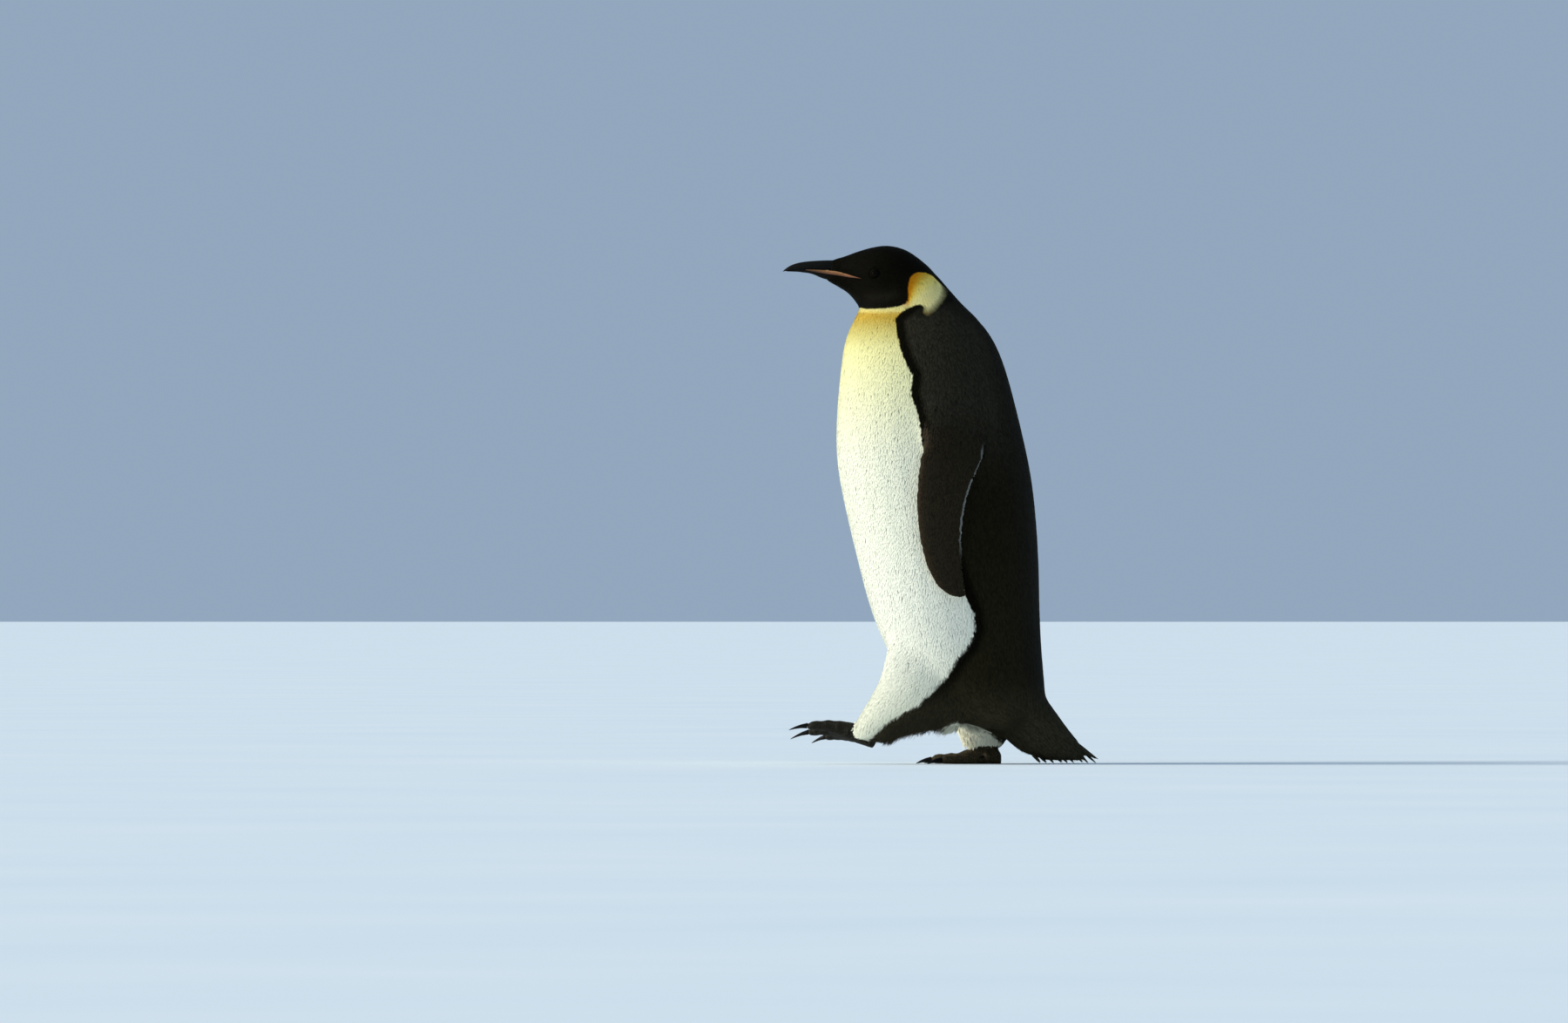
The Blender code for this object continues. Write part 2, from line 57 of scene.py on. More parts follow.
MID_Y = -0.04488

FLESH = (
    "head", "neck", "trunk", "tail", "leg_left", "leg_right",
    "flipper_left", "flipper_right", "foot_left", "foot_right",
)
HEAD, NECK, TRUNK, TAIL, LEG_L, LEG_R, FLIP_L, FLIP_R, FOOT_L, FOOT_R = range(10)

# For each flesh node, in metres: how far its feathers stand off the skin and how far the skin
# lies inside the solid, a smoothing weight, then spacing, length and width of the feathers
DEPTH = np.array([1.35, 2.8, 3.6, 3.0, 3.5, 3.3, 1.1, 1.1, 0.15, 0.15]) / 1000
INSET = np.array([0.95, 1.9, 2.7, 2.6, 2.8, 2.7, 0.9, 0.9, 0.15, 0.15]) / 1000
SMOOTH = np.array([0.30, 0.8, 1.0, 0.35, 0.6, 0.5, 0.10, 0.10, 0.03, 0.03])
SPACING = np.array([1.42, 2.05, 2.42, 2.6, 2.05, 2.0, 1.75, 1.75, 2.1, 2.1]) / 1000
LENGTH = np.array([6.5, 11.5, 15.0, 16.0, 13.0, 12.0, 7.5, 7.5, 3.0, 3.0]) / 1000
WIDTH = np.array([2.1, 3.6, 4.3, 4.2, 3.2, 3.0, 2.8, 2.8, 2.0, 2.0]) / 1000
# Where the flippers grow out of the body their coat turns into the body's
SHOULDER = (0.53, 0.63)

VOXEL = 0.0022
SKIN_TRIANGLES = 150000
SMOOTH_STEPS = 60
SHOULDER_STEPS = 300
# The flesh is taken this much fatter, so that the skin's nearest face is always found
SPARE = 0.0004
# The hump on the lifted foot: height, middle in x and reach
INSTEP = 0.0042
INSTEP_X = -0.226
INSTEP_REACH = 0.022


# ---------------------------------------------------------------- small helpers


def smoothstep(low, high, value):
    t = np.clip((value - low) / (high - low), 0.0, 1.0)
    return t * t * (3 - 2 * t)


def unit(vectors):
    return vectors / np.maximum(np.linalg.norm(vectors, axis=-1, keepdims=True), 1e-12)


def tangent(vectors, normals):
    """The vectors laid flat on the surface, at unit length."""
    return unit(vectors - (vectors * normals).sum(1, keepdims=True) * normals)


def vertices_of(mesh):
    co = np.empty(len(mesh.vertices) * 3)
    mesh.vertices.foreach_get("co", co)
    return co.reshape(-1, 3)


def triangles_of(mesh):
    mesh.calc_loop_triangles()
    tris = np.empty(len(mesh.loop_triangles) * 3, np.int32)
    mesh.loop_triangles.foreach_get("vertices", tris)
    return tris.reshape(-1, 3)


def mesh_of(name, points, faces, smooth=False):
    """A mesh object from arrays of points and of faces, which all have the same number of corners."""
    corners = faces.shape[1]
    mesh = bpy.data.meshes.new(name)
    mesh.vertices.add(len(points))
    mesh.vertices.foreach_set("co", np.asarray(points, np.float32).ravel())
    mesh.loops.add(faces.size)
    mesh.loops.foreach_set("vertex_index", np.asarray(faces, np.int32).ravel())
    mesh.polygons.add(len(faces))
    mesh.polygons.foreach_set("loop_start", np.arange(len(faces), dtype=np.int32) * corners)
    mesh.update(calc_edges=True)
    mesh.validate()
    if smooth:
        mesh.shade_smooth()
    else:
        mesh.shade_flat()
    obj = bpy.data.objects.new(name, mesh)
    bpy.context.scene.collection.objects.link(obj)
    return obj


def put(obj, name, values):
    """Stores one number or one colour per vertex for the materials."""
    values = np.asarray(values, np.float32)
    if values.ndim == 1:
        layer = obj.data.attributes.new(name, "FLOAT", "POINT")
        layer.data.foreach_set("value", values)
    else:
        layer = obj.data.attributes.new(name, "FLOAT_COLOR", "POINT")
        rgba = np.ones((len(values), 4), np.float32)
        rgba[:, :3] = values
        layer.data.foreach_set("color", rgba.ravel())


def move_points(obj, points):
    obj.data.vertices.foreach_set("co", points.astype(np.float32).ravel())
    obj.data.update()


def face_outwards(obj, weld=None):
    """Turns all faces outwards, after welding points that lie within a distance."""
    bm = bmesh.new()
    bm.from_mesh(obj.data)
    if weld:
        bmesh.ops.remove_doubles(bm, verts=bm.verts, dist=weld)
    bmesh.ops.recalc_face_normals(bm, faces=bm.faces)
    bm.to_mesh(obj.data)
    bm.free()


def dress(obj, material, nodes=()):
    """Gives a piece its material, hangs it under the root, and hides the nodes that it stands in for."""
    obj.data.materials.clear()
    obj.data.materials.append(material)
    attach(obj, "root")
    if nodes:
        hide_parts(*nodes)


def baked(obj):
    """Replaces the object's mesh by the result of its modifiers."""
    graph = bpy.context.evaluated_depsgraph_get()
    mesh = bpy.data.meshes.new_from_object(obj.evaluated_get(graph))
    obj.modifiers.clear()
    old = obj.data
    obj.data = mesh
    bpy.data.meshes.remove(old)
    return obj


def inflated(node, by):
    """Welded points and triangles of a CAD node, moved outwards."""
    bm = bmesh.new()
    bm.from_mesh(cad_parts[node].data)
    bmesh.ops.remove_doubles(bm, verts=bm.verts, dist=1e-5)
    bmesh.ops.triangulate(bm, faces=bm.faces)
    bm.normal_update()
    bm.verts.index_update()
    points = np.array([v.co + v.normal * by for v in bm.verts])
    faces = np.array([[v.index for v in f.verts] for f in bm.faces], np.int32)
    bm.free()
    return points, faces


def merged(nodes, by):
    """Several nodes as one set of points and triangles, with the number of each triangle's node."""
    points, faces, owner, count = [], [], [], 0
    for index, node in enumerate(nodes):
        p, f = inflated(node, by)
        points.append(p)
        faces.append(f + count)
        owner.append(np.full(len(f), index))
        count += len(p)
    return np.concatenate(points), np.concatenate(faces), np.concatenate(owner)


def bands(places, values, count):
    """The band of 0..1 that each place is in, and the least and greatest value in every band."""
    slot = np.clip((places * count).astype(int), 0, count - 1)
    filled = np.unique(slot)
    least = [values[slot == i].min() for i in filled]
    most = [values[slot == i].max() for i in filled]
    every = np.arange(count)
    return slot, np.interp(every, filled, least), np.interp(every, filled, most)


def tree_of(points, faces):
    return BVHTree.FromPolygons(points.tolist(), faces.tolist(), all_triangles=True)


def nearest(tree, points):
    """Nearest place, its normal, face and distance on a surface, for each point."""
    places = np.empty((len(points), 3))
    normals = np.empty((len(points), 3))
    faces = np.empty(len(points), np.int32)
    gaps = np.empty(len(points))
    find = tree.find_nearest
    for i, point in enumerate(points.tolist()):
        places[i], normals[i], faces[i], gaps[i] = find(point)
    return places, normals, faces, gaps


def gap_to(tree, points):
    return nearest(tree, points)[3]


def off_point(points, centre):
    """Distance of each point from one place."""
    return np.linalg.norm(points - np.array(centre), axis=1)


def aside(points):
    """How far each point is to the right of the mid-plane, in y."""
    return points[..., 1] - (LEAN * points[..., 2] + MID_Y)


def along_node(node, points):
    """Share of the way along a node's box in x."""
    low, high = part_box(node)
    return (points[:, 0] - low.x) / (high.x - low.x)


def edges_of(faces):
    pairs = np.concatenate([faces[:, [0, 1]], faces[:, [1, 2]], faces[:, [2, 0]]])
    pairs.sort(axis=1)
    keys = np.unique(pairs[:, 0].astype(np.int64) * 10_000_000 + pairs[:, 1])
    return np.stack([keys // 10_000_000, keys % 10_000_000], 1)


class Net:
    """Averages values over the neighbours of each vertex."""

    def __init__(self, count, edges):
        self.a = np.concatenate([edges[:, 0], edges[:, 1]])
        self.b = np.concatenate([edges[:, 1], edges[:, 0]])
        self.count = count
        self.degree = np.maximum(np.bincount(self.a, minlength=count), 1)

    def mean(self, values):
        if values.ndim == 1:
            return np.bincount(self.a, values[self.b], self.count) / self.degree
        return np.stack([self.mean(values[:, k]) for k in range(values.shape[1])], 1)

    def soften(self, values, steps, factor=0.5):
        factor = np.asarray(factor)
        if values.ndim == 2 and factor.ndim == 1:
            factor = factor[:, None]
        for _ in range(steps):
            values = values + factor * (self.mean(values) - values)
        return values


def vertex_normals(points, faces):
    a, b, c = (points[faces[:, k]] for k in range(3))
    cross = np.cross(b - a, c - a)
    total = np.zeros_like(points)
    for k in range(3):
        for axis in range(3):
            total[:, axis] += np.bincount(faces[:, k], cross[:, axis], len(points))
    return unit(total)


# ---------------------------------------------------------------- camera, stage, light


# A long lens far to the bird's left, a little above the floor and tilted up
CAMERA_PLACE = (-0.3160, -23.295, 0.262)
CAMERA_TILT = 0.458
LENS = 300.8
FLOOR_REACH = 600.0
FLOOR_FRONT = 60.0
SKY = (0.33, 0.44, 0.58, 1.0)
SKY_STRENGTH = 0.88
# A soft low sun in front of the bird
SUN_STRENGTH = 3.7
SUN_SPREAD = 32
SUN_COLOUR = (1.0, 0.97, 0.88)
SUN_WAY = (0.90, 0.08, -0.42)


def make_camera():
    data = bpy.data.cameras.new("camera")
    data.sensor_width = 36.0
    data.lens = LENS
    data.clip_end = 2000
    camera = bpy.data.objects.new("camera", data)
    camera.location = CAMERA_PLACE
    camera.rotation_euler = (math.radians(90 + CAMERA_TILT), 0, 0)
    bpy.context.scene.collection.objects.link(camera)
    bpy.context.scene.camera = camera


class Nodes:
    """Short names for the shader nodes that the materials use."""

    def __init__(self, name):
        self.material = bpy.data.materials.new(name)
        self.material.use_nodes = True
        self.tree = self.material.node_tree
        self.shader = self.tree.nodes["Principled BSDF"]

    def feed(self, socket, value):
        if isinstance(value, (int, float)):
            socket.default_value = value
        elif isinstance(value, tuple):
            socket.default_value = (*value, 1.0) if len(socket.default_value) == 4 else value
        else:
            self.tree.links.new(value, socket)

    def add(self, kind, inputs, output=0, **settings):
        """A node with these settings and inputs: gives its output."""
        node = self.tree.nodes.new(kind)
        for key, value in settings.items():
            setattr(node, key, value)
        for key, value in inputs.items():
            self.feed(node.inputs[key], value)
        return node.outputs[output]

    def attribute(self, name, output="Fac"):
        return self.add("ShaderNodeAttribute", {}, output, attribute_name=name)

    def math(self, operation, a, b=0.0):
        return self.add("ShaderNodeMath", {0: a, 1: b}, operation=operation)

    def noise(self, scale, detail=3.0, rough=0.5, stretch=None):
        place = self.add("ShaderNodeTexCoord", {}, "Object")
        if stretch:
            place = self.add("ShaderNodeMapping", {"Vector": place, "Scale": stretch})
        inputs = {"Vector": place, "Scale": scale, "Detail": detail, "Roughness": rough}
        return self.add("ShaderNodeTexNoise", inputs, "Fac")

    def range(self, value, low, high, to_low, to_high):
        ends = {"From Min": low, "From Max": high, "To Min": to_low, "To Max": to_high}
        return self.add("ShaderNodeMapRange", {"Value": value, **ends})

    def vary(self, noise, low, high):
        """Noise, whose middle part is spread from low to high."""
        return self.range(noise, 0.3, 0.7, low, high)

    def ramp(self, value, *stops):
        node = self.tree.nodes.new("ShaderNodeValToRGB")
        elements = node.color_ramp.elements
        while len(elements) < len(stops):
            elements.new(0.5)
        for element, (position, colour) in zip(elements, stops):
            element.position = position
            element.color = (*colour, 1.0)
        self.feed(node.inputs["Fac"], value)
        return node.outputs["Color"]

    def mix(self, factor, a, b, blend="MIX"):
        return self.add("ShaderNodeMix", {0: factor, 6: a, 7: b}, 2, data_type="RGBA", blend_type=blend)

    def scale(self, colour, value):
        return self.add("ShaderNodeVectorMath", {0: colour, "Scale": value}, operation="SCALE")

    def bump(self, height, distance, strength):
        inputs = {"Height": height, "Distance": distance, "Strength": strength}
        self.feed(self.shader.inputs["Normal"], self.add("ShaderNodeBump", inputs))

    def surface(self, colour, rough, specular):
        """The finished material. The specular level is set on the shader itself."""
        self.feed(self.shader.inputs["Base Color"], colour)
        self.feed(self.shader.inputs["Roughness"], rough)
        self.shader.inputs["Specular IOR Level"].default_value = specular
        return self.material


def make_stage():
    left, right, near, far = -FLOOR_REACH, FLOOR_REACH, -FLOOR_FRONT, FLOOR_REACH
    corners = [(left, near, 0), (right, near, 0), (right, far, 0), (left, far, 0)]
    floor = mesh_of("floor", np.array(corners), np.array([[0, 1, 2, 3]]))
    snow = Nodes("floor_pale")
    grain = snow.noise(1.2, 4)
    pale = snow.ramp(grain, (0.3, (0.76, 0.84, 0.88)), (0.7, (0.82, 0.88, 0.91)))
    floor.data.materials.append(snow.surface(pale, 0.9, 0.1))

    world = bpy.data.worlds.new("studio")
    world.use_nodes = True
    background = world.node_tree.nodes["Background"]
    background.inputs["Color"].default_value = SKY
    background.inputs["Strength"].default_value = SKY_STRENGTH
    bpy.context.scene.world = world

    sun = bpy.data.lights.new("key", "SUN")
    sun.energy = SUN_STRENGTH
    sun.angle = math.radians(SUN_SPREAD)
    sun.color = SUN_COLOUR
    lamp = bpy.data.objects.new("key", sun)
    lamp.rotation_euler = Vector(SUN_WAY).to_track_quat("-Z", "Y").to_euler()
    bpy.context.scene.collection.objects.link(lamp)

    view = bpy.context.scene.view_settings
    view.view_transform = "Standard"
    view.look = "None"


# ---------------------------------------------------------------- markings

# Outline of the pale parts in the side view, x and z in millimetres: under the chin, round the ear
# patch, the hook of dark below it, then down the edge of the breast to the legs
CHIN = [(-700, 812), (-181, 812), (-170, 809), (-140, 810), (-112, 814), (-101, 819), (-96, 826)]
EAR = [
    (-97, 840), (-96, 854), (-93, 865), (-87, 871), (-78, 874), (-65, 873), (-53, 868),
    (-42, 859), (-37, 850), (-34, 841), (-34, 833), (-41, 821), (-51, 809), (-62, 801),
]
HOOK = [(-68, 803), (-67, 810), (-70, 815), (-77, 817.5), (-84, 816), (-97, 811), (-109, 803)]
EDGE_UPPER = [
    (-119, 792), (-117, 773), (-114, 755), (-104, 724), (-97, 707), (-89, 692), (-89, 680),
    (-92, 668), (-91, 654), (-83, 637), (-74, 597), (-71, 566), (-63, 515), (-52, 460),
    (-32, 398), (-11, 344), (6, 296), (17, 270),
]
EDGE_LEFT = [
    (20, 243), (11, 217), (-9, 194), (-31, 157), (-52, 132), (-79, 107), (-107, 93), (-139, 70),
    (-161, 48),
]
EDGE_RIGHT = [(22, 243), (23, 205), (23, 158), (24, 112), (30, 75), (42, 40)]
# Pale down that shows under the dark hem, over the standing foot
FLUFF = [
    (-50, 60), (-28, 67), (-12, 77), (-2, 73), (15, 69), (34, 61), (47, 56), (60, 46), (75, 36),
    (80, 20), (-46, 20),
]
FLUFF = np.array(FLUFF) / 1000
# Bare skin at the heel, from the front of the leg to its rear
HEEL = ((0.010, 0.022), (0.022, 0.031), (0.034, 0.0345), (0.075, 0.0345))
PALE_LEFT = np.array(CHIN + EAR + HOOK + EDGE_UPPER + EDGE_LEFT + [(-176, 0), (-700, 0)]) / 1000
PALE_RIGHT = np.array(CHIN + EAR + HOOK + EDGE_UPPER + EDGE_RIGHT + [(46, 0), (-700, 0)]) / 1000

# The rear edge of the ear patch, which fades into the neck
FADE_FROM = np.array([-0.031, 0.842])
FADE_TO = np.array([-0.060, 0.803])
FADE_REACH = 0.010
FADE_WIDTH = 0.012
# Half the width of the black strip down the nape, between the two ear patches
NAPE = 0.026

# Colours of the coat, in linear light
WHITE = np.array([0.88, 0.87, 0.74])
DEEP = np.array([0.0036, 0.0030, 0.0012])
SLATE = np.array([0.0250, 0.0222, 0.0142])
BACK = np.array([0.0100, 0.0082, 0.0037])
SPINE = np.array([0.0110, 0.0100, 0.0065])
LOW_DARK = np.array([0.0350, 0.0295, 0.0165])
FLIPPER_DARK = np.array([0.0185, 0.0138, 0.0066])
FLIPPER_EDGE = np.array([0.0260, 0.0170, 0.0080])
FLIPPER_LINE = np.array([0.20, 0.20, 0.175])
FOOT_DARK = np.array([0.0140, 0.0115, 0.0060])
# The standing foot and bare heel: browner and much lighter than the other foot, painted light that lifts
# the shade they stand in
FOOT_BROWN_PAINTED_LIGHT = np.array([0.0500, 0.0370, 0.0170])
FADED = np.array([0.66, 0.63, 0.44])
# Cream of the standing leg, partly painted light: lighter and warmer than the flank, to lift the shade it
# stands in
CREAM_AND_PAINTED_LIGHT = np.array([0.90, 0.87, 0.66])

# Colour down the chest by height. The deeper gold just under the chin is partly the chest's own gold and
# partly painted shade under the head
CHEST = (
    (0.30, (0.88, 0.87, 0.72)),
    (0.54, (0.88, 0.87, 0.67)),
    (0.60, (0.88, 0.86, 0.60)),
    (0.66, (0.88, 0.85, 0.51)),
    (0.70, (0.88, 0.84, 0.45)),
    (0.74, (0.86, 0.80, 0.36)),
    (0.765, (0.72, 0.62, 0.205)),
    (0.782, (0.62, 0.47, 0.110)),
    (0.794, (0.58, 0.37, 0.050)),
    (0.801, (0.62, 0.39, 0.058)),
    (0.805, (0.82, 0.65, 0.18)),
    (0.810, (0.86, 0.75, 0.28)),
)
# Colour across the ear patch, as a share of the orange wedge, whose width goes by height
ORANGE_WIDTH = ((0.822, 0.004), (0.840, 0.012), (0.852, 0.019), (0.862, 0.028), (0.871, 0.040))
EAR_FRONT = -0.098
EAR_COLOUR = (
    (0.0, (0.54, 0.165, 0.003)),
    (0.45, (0.66, 0.255, 0.008)),
    (0.80, (0.82, 0.47, 0.042)),
    (1.20, (0.93, 0.68, 0.13)),
    (1.90, (0.98, 0.80, 0.235)),
    (3.00, (1.00, 0.845, 0.325)),
)


def signed(outline, spots):
    """Distance of each spot from a closed outline, positive inside."""
    result = np.empty(len(spots))
    a, b = outline, np.roll(outline, -1, axis=0)
    d = b - a
    length = (d * d).sum(1)
    for start in range(0, len(spots), 20000):
        p = spots[start : start + 20000, None, :]
        t = np.clip(((p - a) * d).sum(2) / length, 0, 1)
        gap = np.sqrt((((a + t[..., None] * d) - p) ** 2).sum(2)).min(1)
        over = (a[:, 1] > p[..., 1]) != (b[:, 1] > p[..., 1])
        with np.errstate(divide="ignore", invalid="ignore"):
            cut = a[:, 0] + (p[..., 1] - a[:, 1]) * d[:, 0] / d[:, 1]
        inside = (over & (p[..., 0] < cut)).sum(1) % 2 == 1
        result[start : start + 20000] = np.where(inside, gap, -gap)
    return result


def blended(stops, value):
    """Colour at each value between stops of (value, colour)."""
    at = [stop for stop, _ in stops]
    return np.stack([np.interp(value, at, [colour[k] for _, colour in stops]) for k in range(3)], 1)


def everywhere(colour, count):
    """The same colour for a number of feathers or points."""
    return np.repeat(colour[None], count, 0)


def mixed(a, b, share):
    return a + (b - a) * share[:, None]


def off_segment(start, end, spots):
    """Distance of each spot from a straight segment."""
    along = end - start
    t = np.clip((spots - start) @ along / (along @ along), 0, 1)
    return np.linalg.norm(spots - start - t[:, None] * along, axis=1)


def pale_share(points, normals, kinds, side, jag):
    """How far in each point is from the edge of the pale parts, how pale that makes it, and how soft the
    edge is there."""
    x, z = points[:, 0], points[:, 2]
    spots = points[:, [0, 2]]
    left, right = signed(PALE_LEFT, spots), signed(PALE_RIGHT, spots)
    low = smoothstep(0.30, 0.24, z)
    across = smoothstep(-0.03, 0.03, side)
    gap = left + (right - left) * low * across
    fluff = signed(FLUFF, spots)
    gap = np.where((side < 0.02) & (z < 0.10), np.maximum(gap, fluff), gap)
    # The underside between the legs is pale, the rear of it dark
    under = smoothstep(0.25, 0.70, -normals[:, 2]) * smoothstep(0.080, 0.055, x)
    under = under * smoothstep(0.090, 0.076, z)
    under = np.where(kinds == TRUNK, under * smoothstep(-0.045, -0.025, side), 0.0)
    under = under * np.where(x > 0.0, smoothstep(-0.004, 0.0, fluff), 1.0)
    gap = gap + np.maximum(0.010 - gap, 0.0) * under
    # Over the standing foot the dark hem is on the left only
    ankle = fluff + np.maximum(gap - fluff, 0.0) * smoothstep(0.015, 0.030, side)
    gap = np.where(kinds == LEG_R, ankle, gap)
    # The ear patches stop short of the nape
    behind = smoothstep(-0.090, -0.070, x) * smoothstep(0.785, 0.800, z)
    gap = np.minimum(gap, np.where(behind > 0, np.abs(side) - NAPE * behind, gap))
    # Ragged along the body, fine on the face, soft behind the ear patch
    fine = smoothstep(0.76, 0.80, z)
    ragged = (0.0010 + 0.0007 * low) * (1 - fine) + 0.0003 * fine
    soft = np.exp(-((off_segment(FADE_FROM, FADE_TO, spots) / FADE_REACH) ** 2))
    width = 0.0009 + 0.0022 * low + FADE_WIDTH * soft
    return gap, smoothstep(-1, 1, (gap + jag * ragged) / width) ** (1 + 0.9 * soft), soft


def flipper_colour(normals, side, z, edge_gap):
    """Dark outside with a brownish leading edge, white inside, a pale line down the trailing edge."""
    trail, lead = edge_gap
    outward = np.where(side < 0, -normals[:, 1], normals[:, 1])
    outer = mixed(FLIPPER_DARK, FLIPPER_EDGE, smoothstep(0.016, 0.0, lead))
    inner_pale = smoothstep(0.05, -0.25, outward) * smoothstep(0.003, 0.008, lead)
    line = smoothstep(0.0034, 0.0020, trail) * smoothstep(0.36, 0.42, z)
    line = line * smoothstep(0.575, 0.545, z)
    wing = mixed(outer, WHITE * 0.95, inner_pale)
    wing = mixed(wing, FLIPPER_LINE, line * (1 - inner_pale))
    # At the shoulder the flipper takes the colours of the body round it
    shoulder = smoothstep(0.575, 0.65, z - 0.4 * np.minimum(lead, 0.05))
    return wing, np.maximum(shoulder, 0)


def bare_heel(points, kinds, lower):
    """The scaly skin of the standing leg just over the foot."""
    top = np.interp(points[:, 0], *zip(*HEEL), left=0.0)
    return (kinds == LEG_R) & (points[:, 2] < top - lower)


def markings(points, normals, kinds, edge_gap, jag):
    """Colour of each point of skin or coat. kinds are the flesh that it belongs to, edge_gap its distance
    in from a flipper's trailing and leading edge, and jag how far it strays over an edge, about -1..1."""
    x, z = points[:, 0], points[:, 2]
    side = aside(points)
    gap, pale, soft = pale_share(points, normals, kinds, side, jag)

    chest = blended(CHEST, z)
    wedge = np.interp(z, *zip(*ORANGE_WIDTH))
    ear = blended(EAR_COLOUR, (x - EAR_FRONT) / wedge)
    ear_zone = smoothstep(0.808, 0.826, z + 0.35 * np.clip(x + 0.085, 0, 0.05))
    ear_zone = ear_zone * smoothstep(-0.115, -0.10, x)
    light = mixed(chest, ear, ear_zone)
    light = mixed(light, FADED, 0.25 * soft)
    # Creamy flank and legs. The standing leg takes a brighter, warmer cream: its own cream, partly painted
    # light that lifts the shade it stands in
    cream = smoothstep(0.24, 0.08, z)
    light = light * (1 - 0.08 * cream[:, None] * np.array([1.0, 0.9, 1.6]))
    light = np.where((kinds == LEG_R)[:, None], CREAM_AND_PAINTED_LIGHT, light)

    inward = -gap
    off_fade = off_segment(FADE_FROM, FADE_TO, points[:, [0, 2]])
    beside_fade = inward + 0.018 * np.exp(-((off_fade / 0.020) ** 2))
    slate = smoothstep(0.010, 0.024, beside_fade) * smoothstep(0.852, 0.806, z) * smoothstep(0.46, 0.67, z)
    slate = slate * (0.25 + 0.75 * smoothstep(0.03, 0.08, np.abs(side)))
    back = smoothstep(0.010, 0.026, inward) * smoothstep(0.835, 0.80, z - 0.25 * (x + 0.05))
    spine = back * smoothstep(0.55, 0.95, normals[:, 0]) * smoothstep(0.82, 0.70, z)
    dark = mixed(DEEP, BACK * (1 + 0.5 * smoothstep(0.55, 0.20, z))[:, None], back)
    dark = mixed(dark, SLATE, slate)
    dark = mixed(dark, SPINE, spine)
    dark = mixed(dark, LOW_DARK, smoothstep(0.17, 0.05, z))
    colour = mixed(dark, light, pale)

    flipper = (kinds == FLIP_L) | (kinds == FLIP_R)
    wing, shoulder = flipper_colour(normals, side, z, edge_gap)
    colour = np.where(flipper[:, None], mixed(wing, colour, shoulder), colour)
    colour = np.where((kinds == FOOT_L)[:, None], FOOT_DARK, colour)
    # The standing foot and its bare heel are painted lighter, to lift the shade they stand in
    brown = (kinds == FOOT_R) | bare_heel(points, kinds, 0.0)
    return np.where(brown[:, None], FOOT_BROWN_PAINTED_LIGHT, colour)


# ---------------------------------------------------------------- skin

cad_points, cad_faces, cad_owner = merged(FLESH, SPARE)
cad_tree = tree_of(cad_points, cad_faces)


def narrowed(points):
    """The coloured strip of the bill, thinner towards its rear end than its solid."""
    count = 30
    along = along_node("bill_plate_left", points)
    _, least, most = bands(along, points[:, 2], count)
    middles = (np.arange(count) + 0.5) / count
    top = np.interp(along, middles, most)
    bottom = np.interp(along, middles, least)
    thick = np.maximum(top - bottom, 1e-5)
    share = np.clip((points[:, 2] - bottom) / thick, 0, 1)
    lift = np.minimum(0.0023 * smoothstep(0.05, 0.75, along), 0.55 * thick)
    drop = np.minimum(0.0012 * smoothstep(0.0, 0.12, along), 0.15 * thick)
    points = points.copy()
    points[:, 2] += lift * (1 - share) - drop * share + 0.0010 * smoothstep(0.80, 1.0, along)
    return points


horn_points, horn_faces, _ = merged(("bill_upper", "bill_lower"), 0.0)
plate_points, plate_faces, _ = merged(("bill_plate_left", "bill_plate_right"), 0.0)
plate_points = narrowed(plate_points)
plate_tree = tree_of(plate_points, plate_faces)
bill_points = np.concatenate([horn_points, plate_points])
bill_tree = tree_of(bill_points, np.concatenate([horn_faces, plate_faces + len(horn_points)]))
EYE_NODES = ("eye_left", "eye_right")
EYES = [np.array(sum(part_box(node), Vector()) / 2) for node in EYE_NODES]
EYE_RADIUS = (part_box("eye_left")[1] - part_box("eye_left")[0])[2] / 2


def remeshed(name, points, faces, voxel):
    """A closed mesh of small even faces over the given ones."""
    obj = mesh_of(name, points, faces)
    modifier = obj.modifiers.new("voxel", "REMESH")
    modifier.mode = "VOXEL"
    modifier.voxel_size = voxel
    return baked(obj)


def by_kind(table, points, kinds):
    """A value per flesh node, where the top of the flippers takes the trunk's."""
    wing = (kinds == FLIP_L) | (kinds == FLIP_R)
    joined = np.where(wing, smoothstep(*SHOULDER, points[:, 2]), 0.0)
    return table[kinds] + (table[TRUNK] - table[kinds]) * joined


def part_softened(points, edges, chosen, steps, factor):
    """Softens only the chosen points, over a net of their own."""
    place = np.full(len(points), -1)
    place[chosen] = np.arange(chosen.sum())
    mine = place[edges]
    mine = mine[(mine >= 0).all(1)]
    net = Net(chosen.sum(), mine)
    points = points.copy()
    points[chosen] = net.soften(points[chosen], steps, factor[chosen])
    return points


